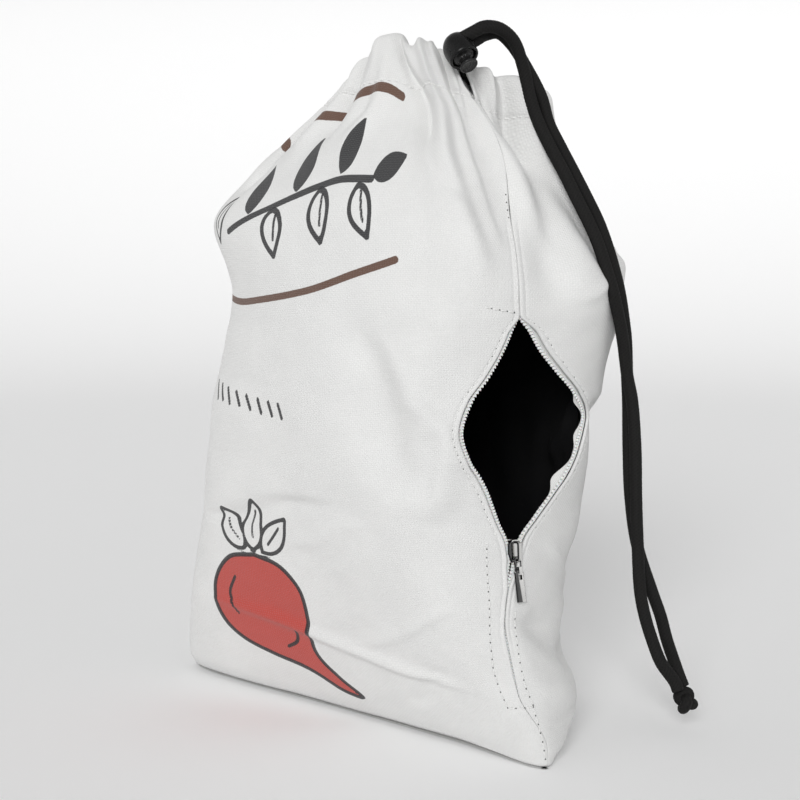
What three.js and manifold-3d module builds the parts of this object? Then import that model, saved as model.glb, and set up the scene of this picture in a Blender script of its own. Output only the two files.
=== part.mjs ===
// Drawstring storage bag for potatoes, standing open on its flat base.
// Cotton front and back panels, a black lining, a zipped opening in one side seam and a
// drawcord in a casing round the mouth, closed by a bell-shaped cord lock.
// Millimetres, +Z up. The printed front faces -Y, the zipped side seam +X, the base lies on z = 0.

import * as THREE from "three";
import { mergeVertices } from "three/addons/utils/BufferGeometryUtils.js";
import Module from "manifold-3d";

const wasm = await Module();
wasm.setup();

// Driving dimensions
const RIM_HEIGHT = 288;      // mouth edge at the side seams, above the base
const BELLY_WIDTH = 186;     // from side seam to side seam at the belly
const BELLY_DEPTH = 132;     // from front to back at the belly
const CLOTH = 1.2;           // thickness of the outer cotton cloth
const LINING = 1.0;          // thickness of the lining
const GAP = 0.3;             // between pieces that lie together
const CORD = 5.5;            // diameter of the drawcord
const CASING_DEPTH = 17;     // height of the casing round the mouth
const CASING_WIDTH = 12.4;    // from its outer ply to its inner ply, centre to centre
const ZIP_BOTTOM = 24;       // lower end of the zipper, above the base
const ZIP_TOP = 184;         // upper end of the zipper
const SLIDER_HEIGHT = 86.5;    // middle of the slider, above the base
const COIL_WIDTH = 1.5;      // one coil of the zipper
const COIL_THICKNESS = 1.2;
const TAPE_THICKNESS = 0.6;
const TAPE_WIDTH = 8;
const OPENING_FRONT = 34;    // how far the front lip of the zipped opening is drawn aside
const OPENING_BACK = 50;     // how far its back lip is drawn aside
const LOCK_RADIUS = 6.8;     // bell of the cord lock
const LOCK_SKIRT = 6.2;      // from the bell's centre to the edge of its skirt
const PLUNGER_RADIUS = 2.3;  // stem of the plunger
const PLUNGER_TRAVEL = 2.5;
const BUTTON_RADIUS = 4.0;
const PULL_LENGTH = 12.4;    // tab of the zip pull
const PULL_WIDTH = 4.4;
const RING_LENGTH = 5.4;     // ring of the zip pull, between the centres of its end bars
const RING_WIRE = 0.9;

const SLIDER_LENGTH = 9.4;
const SLIDER_WIDTH = 7.4;
const LOCK_OFFSET = [8.1, -6.3, 2.0];            // bell's centre from the mouth edge at the zipped seam
const LOCK_AXIS = [0.655, -0.028, -0.750];       // from the bell's top to its plunger
const LOCK_EXIT = [0.566, 0.674, 0.470];         // way in which the free strands leave it
const KNOT_PLACE = [121, 78.5, 14.5];
const KNOT_AXIS = [0.324, 0.210, -0.924];
const KNOT_ACROSS = [0.28, -0.93, -0.11];
const KNOT_LENGTH = 11;
const KNOT_RADIUS = 5.8;

const HALF_WIDTH = BELLY_WIDTH / 2;
const HALF_DEPTH = BELLY_DEPTH / 2;
const GIRTH = 2.8 * BELLY_WIDTH;

// The cloth's form: one closed curve a row, through eight stations.
// rise and lift are shares of RIM_HEIGHT, each station is [share of half width, share of half depth].
// peak raises the front and lowers the back of the row, side raises the zipped side.
const SECTIONS = [
  { rise: 0.000, near: [1.23, 0.00], front_near: [0.67, -0.11], front: [0.00, -0.24],
    front_far: [-1.08, -0.45], far: [-1.15, -0.12], back_far: [-0.90, 0.67], back: [0.00, 0.82],
    back_near: [0.71, 0.55], peak: 0.000, side: 0.000 },
  { rise: 0.031, near: [1.22, 0.00], front_near: [0.71, -0.18], front: [0.00, -0.35],
    front_far: [-1.05, -0.55], far: [-1.16, -0.06], back_far: [-0.88, 0.79], back: [0.00, 0.94],
    back_near: [0.77, 0.73], peak: 0.000, side: 0.000 },
  { rise: 0.115, near: [1.12, 0.02], front_near: [0.73, -0.32], front: [0.00, -0.52],
    front_far: [-0.96, -0.64], far: [-1.13, 0.03], back_far: [-0.85, 0.88], back: [0.00, 1.05],
    back_near: [0.80, 0.83], peak: 0.000, side: 0.000 },
  { rise: 0.208, near: [1.03, 0.03], front_near: [0.75, -0.45], front: [0.00, -0.64],
    front_far: [-0.87, -0.68], far: [-1.09, 0.06], back_far: [-0.81, 0.91], back: [0.00, 1.12],
    back_near: [0.74, 0.82], peak: 0.000, side: 0.000 },
  { rise: 0.333, near: [0.97, 0.06], front_near: [0.73, -0.58], front: [0.00, -0.74],
    front_far: [-0.78, -0.68], far: [-1.04, 0.06], back_far: [-0.77, 0.94], back: [0.00, 1.17],
    back_near: [0.77, 0.89], peak: 0.000, side: 0.000 },
  { rise: 0.469, near: [0.97, 0.12], front_near: [0.75, -0.61], front: [0.00, -0.77],
    front_far: [-0.75, -0.64], far: [-1.01, 0.09], back_far: [-0.75, 0.94], back: [0.00, 1.20],
    back_near: [0.81, 0.95], peak: 0.000, side: 0.000 },
  { rise: 0.583, near: [0.98, 0.09], front_near: [0.75, -0.58], front: [0.00, -0.74],
    front_far: [-0.71, -0.55], far: [-0.99, 0.12], back_far: [-0.73, 0.94], back: [0.00, 1.26],
    back_near: [0.86, 1.09], peak: 0.000, side: 0.000 },
  { rise: 0.667, near: [0.98, 0.06], front_near: [0.73, -0.52], front: [0.00, -0.70],
    front_far: [-0.69, -0.50], far: [-0.99, 0.15], back_far: [-0.71, 0.94], back: [0.00, 1.27],
    back_near: [0.89, 1.17], peak: 0.000, side: 0.000 },
  { rise: 0.771, near: [0.84, 0.18], front_near: [0.65, -0.45], front: [0.00, -0.64],
    front_far: [-0.76, -0.58], far: [-1.05, 0.12], back_far: [-0.71, 1.00], back: [0.02, 1.21],
    back_near: [0.83, 1.06], peak: 0.003, side: 0.000 },
  { rise: 0.854, near: [0.71, 0.24], front_near: [0.54, -0.27], front: [0.02, -0.44],
    front_far: [-0.69, -0.30], far: [-0.90, 0.15], back_far: [-0.56, 0.97], back: [0.09, 1.15],
    back_near: [0.74, 0.97], peak: 0.017, side: 0.003 },
  { rise: 0.927, near: [0.58, 0.21], front_near: [0.45, -0.03], front: [0.09, -0.21],
    front_far: [-0.39, -0.08], far: [-0.58, 0.27], back_far: [-0.32, 0.88], back: [0.15, 1.03],
    back_near: [0.63, 0.85], peak: 0.038, side: 0.010 },
  { rise: 0.969, near: [0.53, 0.18], front_near: [0.40, -0.03], front: [0.11, -0.15],
    front_far: [-0.26, -0.02], far: [-0.45, 0.33], back_far: [-0.26, 0.85], back: [0.19, 0.98],
    back_near: [0.63, 0.79], peak: 0.049, side: 0.017 },
  { rise: 1.000, near: [0.49, 0.15], front_near: [0.37, -0.03], front: [0.11, -0.12],
    front_far: [-0.19, 0.03], far: [-0.39, 0.36], back_far: [-0.22, 0.85], back: [0.22, 0.97],
    back_near: [0.62, 0.76], peak: 0.052, side: 0.021 },
];
const STATIONS = ["near", "front_near", "front", "front_far", "far", "back_far", "back", "back_near"];

// Main folds. Each runs straight between two places on the cloth, given as around, a share of
// the girth from the zipped seam over the front, and rise. width is a share of the girth and
// depth a share of BELLY_DEPTH, outwards where it is positive.
const FOLDS = [
  { around: [0.045, 0.130], rise: [0.71, 1.02], width: 0.017, depth: 0.045 },
  { around: [0.235, 0.200], rise: [0.88, 1.05], width: 0.014, depth: -0.036 },
  { around: [-0.035, -0.050], rise: [0.69, 0.99], width: 0.017, depth: -0.060 },
  { around: [0.360, 0.300], rise: [0.81, 1.05], width: 0.014, depth: -0.036 },
  { around: [0.420, 0.360], rise: [0.83, 1.02], width: 0.012, depth: -0.030 },
  { around: [0.470, 0.420], rise: [0.80, 1.02], width: 0.014, depth: -0.040 },
  { around: [0.130, 0.170], rise: [0.40, 0.62], width: 0.026, depth: -0.045 },
  { around: [0.095, 0.080], rise: [0.36, 0.50], width: 0.022, depth: 0.024 },
  { around: [0.230, 0.330], rise: [0.36, 0.30], width: 0.030, depth: -0.022 },
  { around: [0.120, 0.300], rise: [0.10, 0.16], width: 0.030, depth: 0.020 },
  { around: [-0.150, -0.110], rise: [0.40, 0.50], width: 0.016, depth: -0.036 },
  { around: [-0.200, -0.130], rise: [0.60, 0.72], width: 0.018, depth: 0.030 },
  { around: [-0.260, -0.330], rise: [0.20, 0.55], width: 0.030, depth: -0.036 },
  { around: [-0.180, -0.190], rise: [0.80, 1.02], width: 0.014, depth: -0.036 },
  { around: [-0.290, -0.270], rise: [0.80, 1.02], width: 0.014, depth: -0.036 },
  { around: [-0.400, -0.360], rise: [0.80, 1.02], width: 0.014, depth: -0.036 },
];
const PLEAT_COUNT = 12;       // small pleats gathered by the cord
const PLEAT_DEPTH = 0.009;    // share of BELLY_DEPTH
const PLEAT_START = 0.90;     // rise at which they begin

// Free strands of the drawcord, from the lock over the back shoulder and down to the knot
const STRAND_A = [
  [60.6, 11.8, 304.9], [61.2, 20.4, 304.8], [61.4, 28.4, 300.4], [60.8, 34.6, 290.4],
  [61.9, 38.5, 276.0], [64.4, 41.0, 266.1], [69.5, 43.6, 254.9], [75.9, 44.6, 245.1],
  [82.1, 46.9, 233.0], [86.7, 49.3, 223.3], [90.5, 51.3, 214.1], [93.6, 53.1, 203.8],
  [95.8, 55.4, 193.4], [95.8, 59.5, 182.0], [95.2, 63.0, 172.0], [95.4, 66.0, 156.5],
  [97.2, 67.2, 146.0], [99.6, 67.2, 125.0], [101.5, 66.0, 104.0], [103.7, 65.0, 83.5],
  [106.0, 64.6, 62.5], [108.2, 65.4, 52.0], [111.0, 67.0, 42.0], [114.8, 68.9, 32.0],
];
const STRAND_B = [
  [54.4, 17.9, 302.7], [55.6, 24.5, 304.1], [55.8, 32.5, 299.9], [57.6, 40.1, 290.1],
  [62.0, 44.8, 277.8], [64.2, 47.4, 266.5], [68.9, 50.2, 255.9], [75.8, 51.0, 245.3],
  [81.8, 53.7, 233.3], [85.9, 56.3, 223.6], [89.5, 57.7, 214.2], [92.3, 59.5, 203.7],
  [94.1, 61.4, 193.3], [93.0, 65.6, 181.6], [91.6, 69.0, 171.8], [90.8, 71.0, 156.0],
  [91.6, 71.0, 145.4], [93.2, 70.0, 124.4], [95.2, 69.4, 103.3], [98.9, 70.0, 82.2],
  [105.6, 73.0, 61.2], [108.8, 75.2, 50.6], [111.3, 76.6, 40.5], [113.4, 79.0, 31.2],
];
const CORD_LEAD = 3;           // how far the cord stays in line with the casing outside it
const CORD_BELOW = 0.40;       // share of the casing's height, below the mouth edge

// Cloth form
function smoothStep(from, to, value) {
  const t = Math.min(1, Math.max(0, (value - from) / (to - from)));
  return t * t * (3 - 2 * t);
}

const sectionRises = SECTIONS.map((section) => section.rise);
const sectionValues = SECTIONS.map((section) => [
  ...STATIONS.flatMap((name) => section[name]), section.peak, section.side]);

// Slopes of a smooth curve through a table column that never overshoots its values.
function steadySlopes(rises, values) {
  const steps = values.slice(1).map((value, i) => (value - values[i]) / (rises[i + 1] - rises[i]));
  const inner = steps.slice(1).map((step, i) => {
    const before = rises[i + 1] - rises[i];
    const after = rises[i + 2] - rises[i + 1];
    if (step * steps[i] <= 0) return 0;
    const a = 2 * after + before;
    const b = after + 2 * before;
    return (a + b) / (a / steps[i] + b / step);
  });
  return [steps[0], ...inner, steps[steps.length - 1]];
}
const sectionSlopes = sectionValues[0].map((_, column) =>
  steadySlopes(sectionRises, sectionValues.map((row) => row[column])));

function hermite(from, to, slopeFrom, slopeTo, t) {
  const t2 = t * t;
  const t3 = t2 * t;
  return (2 * t3 - 3 * t2 + 1) * from + (t3 - 2 * t2 + t) * slopeFrom
    + (3 * t2 - 2 * t3) * to + (t3 - t2) * slopeTo;
}

function sectionAt(rise) {
  const last = sectionRises.length - 2;
  const k = Math.min(last, Math.max(0, sectionRises.findIndex((r) => r > rise) - 1));
  const i = rise >= sectionRises[last] ? last : k;
  const span = sectionRises[i + 1] - sectionRises[i];
  const t = Math.min(1, Math.max(0, (rise - sectionRises[i]) / span));
  return sectionValues[i].map((value, c) => hermite(value, sectionValues[i + 1][c],
    sectionSlopes[c][i] * span, sectionSlopes[c][i + 1] * span, t));
}

// Point of the smooth form, before folds. around 0 is the zipped seam, 0.25 the front.
function smoothPoint(around, rise) {
  const values = sectionAt(rise);
  const station = (i, axis) => values[((i + 8) % 8) * 2 + axis];
  const turn = ((around % 1) + 1) % 1;
  const k = Math.floor(turn * 8);
  const t = turn * 8 - k;
  const along = (axis) => hermite(station(k, axis), station(k + 1, axis),
    (station(k + 1, axis) - station(k - 1, axis)) / 2,
    (station(k + 2, axis) - station(k, axis)) / 2, t);
  const lift = values[16] * Math.sin(2 * Math.PI * turn) + values[17] * Math.cos(2 * Math.PI * turn);
  return new THREE.Vector3(along(0) * HALF_WIDTH, along(1) * HALF_DEPTH, (rise + lift) * RIM_HEIGHT);
}

const STEP_AROUND = 0.004;
const STEP_RISE = 0.006;

function outward(around, rise, form) {
  const low = Math.max(0, rise - STEP_RISE);
  const high = Math.min(1, rise + STEP_RISE);
  const up = form(around, high).sub(form(around, low));
  const along = form(around + STEP_AROUND, rise).sub(form(around - STEP_AROUND, rise));
  return up.cross(along).normalize();
}

function foldHeight(around, rise, pleatShare = 1) {
  let height = 0;
  for (const fold of FOLDS) {
    const t = (rise - fold.rise[0]) / (fold.rise[1] - fold.rise[0]);
    const inside = Math.min(1, Math.max(0, t));
    const middle = fold.around[0] + (fold.around[1] - fold.around[0]) * inside;
    const distance = (((around - middle + 0.5) % 1) + 1) % 1 - 0.5;
    const fade = smoothStep(-0.15, 0.2, t) * (1 - smoothStep(0.85, 1.2, t));
    height += fold.depth * fade * Math.exp(-((distance / fold.width) ** 2));
  }
  const gather = smoothStep(PLEAT_START, 1, rise) * pleatShare;
  const wave = Math.cos(2 * Math.PI * (PLEAT_COUNT * around + 0.35 * Math.sin(6 * Math.PI * around)));
  const stiffened = 1 - 0.9 * smoothStep(0.88, 0.95, rise);
  return (height * stiffened * (0.35 + 0.65 * pleatShare) + PLEAT_DEPTH * gather * wave) * BELLY_DEPTH;
}

// Point of the folded cloth's outer face
function clothPoint(around, rise, pleatShare = 1) {
  const normal = outward(around, rise, smoothPoint);
  return smoothPoint(around, rise).addScaledVector(normal, foldHeight(around, rise, pleatShare));
}

// Point a given depth inside the outer face
function insidePoint(around, rise, depth) {
  return clothPoint(around, rise).addScaledVector(outward(around, rise, clothPoint), -depth);
}

// Lips of the zipped opening and of the cord's way out of the casing, as distances from the seam
const SEAM_HALF = GAP / 2 + 0.5;
const SEAM_HALF_AT_TIP = 1.2;
const LIP_AT_SLIDER = 5.8;
const COIL_AT_SLIDER = 2.45;
const CASING_END_FRONT = 24;
const CASING_END_BACK = 22;

function openness(height) {
  return smoothStep(SLIDER_HEIGHT - 18, SLIDER_HEIGHT - 9, height)
    * (1 - smoothStep(ZIP_TOP - 8, ZIP_TOP, height));
}

function lens(height) {
  const t = (height - SLIDER_HEIGHT - 5) / (ZIP_TOP - SLIDER_HEIGHT - 6);
  if (t <= 0 || t >= 1) return 0;
  return 1 - Math.abs(2 * t - 1) ** 1.6;
}

function seamHalf(height) {
  return SEAM_HALF + (SEAM_HALF_AT_TIP - SEAM_HALF) * (1 - smoothStep(0, ZIP_BOTTOM, height));
}

function lipDistance(side, height) {
  const drawn = side > 0 ? OPENING_FRONT : OPENING_BACK;
  const end = side > 0 ? CASING_END_FRONT : CASING_END_BACK;
  const throat = smoothStep(RIM_HEIGHT - CASING_DEPTH - 4, RIM_HEIGHT - CASING_DEPTH + 5, height);
  const seam = seamHalf(height);
  return seam + (LIP_AT_SLIDER - seam) * openness(height) + drawn * lens(height) + end * throat;
}

function coilDistance(side, height) {
  const drawn = side > 0 ? OPENING_FRONT : OPENING_BACK;
  const closed = COIL_WIDTH / 2 + GAP / 2;
  return closed + (COIL_AT_SLIDER - closed) * openness(height) + drawn * lens(height);
}

function liningDistance(side, height) {
  const besideZip = smoothStep(ZIP_BOTTOM - 12, ZIP_BOTTOM - 4, height)
    * (1 - smoothStep(ZIP_TOP + 4, ZIP_TOP + 14, height));
  const foot = 14 * (1 - smoothStep(0, 0.25 * RIM_HEIGHT, height));
  return lipDistance(side, height) + 0.4 + foot + (TAPE_WIDTH - LIP_AT_SLIDER + 1) * besideZip;
}

// Depths of the zipper's layers and of the lining inside the cloth's outer face
const COIL_DEPTH = CLOTH + GAP;
const TAPE_DEPTH = COIL_DEPTH + COIL_THICKNESS + 2 * GAP;
const LINING_DEPTH = TAPE_DEPTH + TAPE_THICKNESS + GAP + 0.5;
const ZIP_STEP = 6.5;
const LINING_LOOSE = 0.10;     // share by which the lining's sections are smaller than the cloth's
const LINING_SEWN = 30;        // how far from the zipper the lining hangs free
const LINING_COLUMNS = 13;
const LINING_RISES = [0.10, 0.20, 0.30, 0.40, 0.50, 0.60, 0.70, 0.79, 0.86, 0.92];

// Solids
// Body whose faces all turn out, from points and triangles wound the same way
function solidFromFaces(points, faces) {
  const volume = faces.reduce((sum, [a, b, c]) =>
    sum + points[a].dot(points[b].clone().cross(points[c])), 0);
  const wound = volume > 0 ? faces : faces.map(([a, b, c]) => [a, c, b]);
  const geometry = new THREE.BufferGeometry();
  geometry.setAttribute("position",
    new THREE.Float32BufferAttribute(wound.flatMap((face) => face.flatMap((i) => points[i].toArray())), 3));
  return mergeVertices(geometry, 1e-4);
}

// Closed solid between two grids of points of the same size, outer grid first.
// Rows run upwards, columns from the zipped seam over the front.
function sheetSolid(outer, inner) {
  const rows = outer.length;
  const columns = outer[0].length;
  const points = [...outer.flat(), ...inner.flat()];
  const at = (row, column, layer) => layer * rows * columns + row * columns + column;
  const faces = [];
  const quad = (a, b, c, d) => faces.push([a, b, c], [a, c, d]);
  for (let row = 0; row < rows - 1; row += 1) {
    for (let column = 0; column < columns - 1; column += 1) {
      quad(at(row, column, 0), at(row + 1, column, 0), at(row + 1, column + 1, 0), at(row, column + 1, 0));
      quad(at(row, column, 1), at(row, column + 1, 1), at(row + 1, column + 1, 1), at(row + 1, column, 1));
    }
  }
  for (let row = 0; row < rows - 1; row += 1) {
    quad(at(row, 0, 0), at(row, 0, 1), at(row + 1, 0, 1), at(row + 1, 0, 0));
    quad(at(row, columns - 1, 0), at(row + 1, columns - 1, 0), at(row + 1, columns - 1, 1),
      at(row, columns - 1, 1));
  }
  for (let column = 0; column < columns - 1; column += 1) {
    quad(at(0, column, 0), at(0, column + 1, 0), at(0, column + 1, 1), at(0, column, 1));
    quad(at(rows - 1, column, 0), at(rows - 1, column, 1), at(rows - 1, column + 1, 1),
      at(rows - 1, column + 1, 0));
  }
  return solidFromFaces(points, faces);
}

// Both faces of a cloth sheet whose middle layer is a grid of points
function thickened(middle, thickness) {
  const rows = middle.length;
  const columns = middle[0].length;
  const shifted = (sign) => middle.map((line, row) => line.map((point, column) => {
    const up = middle[Math.min(rows - 1, row + 1)][column].clone()
      .sub(middle[Math.max(0, row - 1)][column]);
    const along = line[Math.min(columns - 1, column + 1)].clone()
      .sub(line[Math.max(0, column - 1)]);
    const normal = up.cross(along).normalize();
    return point.clone().addScaledVector(normal, sign * thickness / 2);
  }));
  return sheetSolid(shifted(1), shifted(-1));
}

// Rows of a panel from its lower edge to the mouth, over the rim and down the casing's inner ply
const WALL_RISES = [0.03, 0.07, 0.12, 0.18, 0.25, 0.29, 0.33, 0.37, 0.42, 0.47, 0.52, 0.57, 0.62,
  0.67, 0.73, 0.78, 0.82, 0.86, 0.90];
const CASING_ROWS = [
  { below: 1.00, inward: 0.00 }, { below: 0.62, inward: 0.00 }, { below: 0.27, inward: 0.00 },
  { below: 0.08, inward: 0.15 }, { below: 0.00, inward: 0.50 }, { below: 0.08, inward: 0.85 },
  { below: 0.27, inward: 1.00 }, { below: 0.52, inward: 1.00 }, { below: 0.76, inward: 0.86 },
  { below: 1.00, inward: 0.22 },
];

function casingPoint(around, below, inward, layer) {
  const rise = 1 - below * CASING_DEPTH / RIM_HEIGHT;
  const normal = outward(around, rise, smoothPoint).setZ(0).normalize();
  return clothPoint(around, rise, 1 - 0.6 * inward)
    .addScaledVector(normal, -inward * CASING_WIDTH - layer);
}

function panelColumns(side, columns, distance, height) {
  const start = distance(side, height) / GIRTH;
  const end = 0.5 - SEAM_HALF / GIRTH;
  return Array.from({ length: columns + 1 }, (_, i) => {
    const t = i / columns;
    const around = start + (end - start) * t;
    return side > 0 ? around : 1 - (end + start - around);
  });
}

const PANEL_COLUMNS = 20;
const BASE_ROWS = 4;

function panelRows(side) {
  const layer = CLOTH / 2;
  const walls = WALL_RISES.map((rise) =>
    panelColumns(side, PANEL_COLUMNS, lipDistance, rise * RIM_HEIGHT)
      .map((around) => insidePoint(around, rise, layer)));
  const casing = CASING_ROWS.map(({ below, inward }) => {
    const height = RIM_HEIGHT - below * CASING_DEPTH;
    return panelColumns(side, PANEL_COLUMNS, lipDistance, height)
      .map((around) => casingPoint(around, below, inward, layer));
  });
  return [...walls, ...casing];
}

function frontPanel() {
  const foot = (CLOTH + GAP + 0.5) / RIM_HEIGHT;
  const lowest = panelColumns(1, PANEL_COLUMNS, lipDistance, 0)
    .map((around) => insidePoint(around, foot, CLOTH / 2));
  return thickened([lowest, ...panelRows(1)], CLOTH);
}

// Rows of the base, from the front edge to the foot of the back wall
function basePoint(around, inset, height) {
  const normal = outward(around, 0, smoothPoint).setZ(0).normalize();
  return smoothPoint(around, 0).addScaledVector(normal, -inset).setZ(height);
}

function baseRows(columns, rows, distance, inset, height) {
  const back = panelColumns(-1, columns, distance, 0);
  return Array.from({ length: rows + 1 }, (_, row) => back.map((around) =>
    basePoint(1 - around, inset.front, height)
      .lerp(basePoint(around, inset.back, height), row / rows)));
}

function backPanel() {
  const layer = CLOTH / 2;
  const base = baseRows(PANEL_COLUMNS, BASE_ROWS, lipDistance, { front: 0, back: layer }, layer);
  return thickened([...base, ...panelRows(-1)], CLOTH);
}

// Lining: two thin sheets that hang loose inside the panels, the back one with a base of its own
function liningPoint(around, rise) {
  const centre = smoothPoint(0.25, rise).add(smoothPoint(0.75, rise)).divideScalar(2);
  const point = smoothPoint(around, rise)
    .addScaledVector(outward(around, rise, smoothPoint), -LINING_DEPTH - LINING / 2);
  const height = point.z;
  const fromSeam = GIRTH * Math.min(around, 1 - around);
  const beside = fromSeam - lipDistance(around < 0.5 ? 1 : -1, rise * RIM_HEIGHT);
  return point.lerp(centre, LINING_LOOSE * smoothStep(-LINING_SEWN / 2, LINING_SEWN, beside)).setZ(height);
}

function liningWall(side, foot) {
  return [foot, ...LINING_RISES].map((rise) =>
    panelColumns(side, LINING_COLUMNS, liningDistance, rise * RIM_HEIGHT)
      .map((around) => liningPoint(around, rise)));
}

function liningFront() {
  const foot = (CLOTH + LINING + 3 * GAP + 0.5) / RIM_HEIGHT;
  return thickened(liningWall(1, foot), LINING);
}

function liningBack() {
  const height = CLOTH + GAP + LINING / 2;
  const inset = { front: LINING_DEPTH, back: LINING_DEPTH + 3 * LINING };
  const base = baseRows(LINING_COLUMNS, BASE_ROWS, liningDistance, inset, height);
  return thickened([...base, ...liningWall(-1, 3 * height / RIM_HEIGHT)], LINING);
}

// Zipper
function loftSolid(rings) {
  const sides = rings[0].length;
  const points = rings.flat();
  const faces = [];
  for (let ring = 0; ring < rings.length - 1; ring += 1) {
    for (let side = 0; side < sides; side += 1) {
      const a = ring * sides + side;
      const b = ring * sides + (side + 1) % sides;
      faces.push([a, b, b + sides], [a, b + sides, a + sides]);
    }
  }
  const last = (rings.length - 1) * sides;
  for (let side = 1; side < sides - 1; side += 1) {
    faces.push([0, side + 1, side], [last, last + side, last + side + 1]);
  }
  return solidFromFaces(points, faces);
}

// Band that follows the zipped seam at a distance from it, between two depths in the cloth
function zipBand(side, nearEdge, width, depths, bottom, top) {
  const steps = Math.round((top - bottom) / ZIP_STEP);
  const rings = Array.from({ length: steps + 1 }, (_, i) => {
    const height = bottom + (top - bottom) * i / steps;
    const edge = coilDistance(side, height) + nearEdge;
    const corner = (distance, depth) =>
      insidePoint(side * distance / GIRTH, height / RIM_HEIGHT, depth);
    return [corner(edge, depths[0]), corner(edge + width, depths[0]),
      corner(edge + width, depths[1]), corner(edge, depths[1])];
  });
  return loftSolid(rings);
}

function zipCoil(side) {
  const depths = [COIL_DEPTH, COIL_DEPTH + COIL_THICKNESS];
  return zipBand(side, -COIL_WIDTH / 2, COIL_WIDTH, depths, ZIP_BOTTOM, ZIP_TOP - 2);
}

function zipTape(side) {
  const depths = [TAPE_DEPTH, TAPE_DEPTH + TAPE_THICKNESS];
  return zipBand(side, -COIL_WIDTH / 2, TAPE_WIDTH, depths, ZIP_BOTTOM - 4, ZIP_TOP + 3);
}

// Joining and cutting
function toManifold(geometry) {
  const plain = geometry.clone();
  plain.deleteAttribute("normal");
  plain.deleteAttribute("uv");
  const merged = mergeVertices(plain, 1e-4);
  return new wasm.Manifold(new wasm.Mesh({ numProp: 3,
    vertProperties: new Float32Array(merged.attributes.position.array),
    triVerts: new Uint32Array(merged.index.array) }));
}

function toGeometry(manifold) {
  const mesh = manifold.getMesh();
  const geometry = new THREE.BufferGeometry();
  geometry.setAttribute("position", new THREE.Float32BufferAttribute(mesh.vertProperties, 3));
  geometry.setIndex(new THREE.Uint32BufferAttribute(mesh.triVerts, 1));
  return geometry;
}

function block(x, y, z) {
  const box = new THREE.BoxGeometry(x[1] - x[0], y[1] - y[0], z[1] - z[0]);
  return box.translate((x[0] + x[1]) / 2, (y[0] + y[1]) / 2, (z[0] + z[1]) / 2);
}

// Slider: x across the zipper, y up along it, z outwards from the cloth's face
const PLATE = 1.0;
const SLIDER_TOP_FACE = -COIL_DEPTH + 0.4 + PLATE;
const BRIDGE_HALF = 4.2;      // half length of the bridge that holds the pull
const BRIDGE_LEG = 1.0;
const BRIDGE_ROOM = 2 * RING_WIRE;
const BRIDGE_WIDTH = 1.8;
const WEDGE_HALF = 1.1;

function slider() {
  const halfLength = SLIDER_LENGTH / 2;
  const halfWidth = SLIDER_WIDTH / 2;
  const outline = new THREE.Shape();
  const nose = 0.6 * halfWidth;
  outline.moveTo(-nose, -halfLength);
  outline.lineTo(nose, -halfLength);
  outline.lineTo(halfWidth, -0.2 * halfLength);
  outline.lineTo(halfWidth, 0.6 * halfLength);
  outline.lineTo(0.5 * halfWidth, halfLength);
  outline.lineTo(-0.5 * halfWidth, halfLength);
  outline.lineTo(-halfWidth, 0.6 * halfLength);
  outline.lineTo(-halfWidth, -0.2 * halfLength);
  outline.closePath();
  const plate = (bottom) => toManifold(
    new THREE.ExtrudeGeometry(outline, { depth: PLATE, bevelEnabled: false }).translate(0, 0, bottom));
  const lowerTop = -(TAPE_DEPTH + TAPE_THICKNESS + 0.5);
  const wedge = block([-WEDGE_HALF, WEDGE_HALF], [0.3 * halfLength, 0.9 * halfLength],
    [lowerTop - PLATE / 2, SLIDER_TOP_FACE - PLATE / 2]);
  const bridge = new THREE.Shape();
  const inner = BRIDGE_HALF - BRIDGE_LEG;
  const foot = SLIDER_TOP_FACE - PLATE / 2;
  const ceiling = SLIDER_TOP_FACE + BRIDGE_ROOM;
  bridge.moveTo(-BRIDGE_HALF, foot);
  bridge.lineTo(-inner, foot);
  bridge.lineTo(-inner, ceiling - 0.3);
  bridge.lineTo(-inner + 0.5, ceiling);
  bridge.lineTo(inner - 0.5, ceiling);
  bridge.lineTo(inner, ceiling - 0.3);
  bridge.lineTo(inner, foot);
  bridge.lineTo(BRIDGE_HALF, foot);
  bridge.lineTo(BRIDGE_HALF, ceiling);
  bridge.lineTo(BRIDGE_HALF - 1, ceiling + BRIDGE_LEG);
  bridge.lineTo(-BRIDGE_HALF + 1, ceiling + BRIDGE_LEG);
  bridge.lineTo(-BRIDGE_HALF, ceiling);
  bridge.closePath();
  const arch = new THREE.ExtrudeGeometry(bridge, { depth: BRIDGE_WIDTH, bevelEnabled: false })
    .translate(0, 0, -BRIDGE_WIDTH / 2)
    .applyMatrix4(new THREE.Matrix4().makeBasis(new THREE.Vector3(0, 1, 0),
      new THREE.Vector3(0, 0, 1), new THREE.Vector3(1, 0, 0)));
  return toGeometry(plate(SLIDER_TOP_FACE - PLATE).add(plate(lowerTop - PLATE))
    .add(toManifold(wedge)).add(toManifold(arch)));
}

const RING_HALF_WIDTH = BRIDGE_WIDTH / 2 + GAP + RING_WIRE / 2 + 0.1;
const RING_TOP = -(BRIDGE_HALF - BRIDGE_LEG - GAP - RING_WIRE / 2);
const RING_LEVEL = SLIDER_TOP_FACE + BRIDGE_ROOM / 2;
const PULL_LIFT = -THREE.MathUtils.degToRad(7);

// The pull rests on the cloth, turned a little out from the slider's plates
function liftPull(geometry) {
  return geometry.translate(0, -RING_TOP, -RING_LEVEL).rotateX(PULL_LIFT)
    .translate(0, RING_TOP, RING_LEVEL);
}

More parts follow.
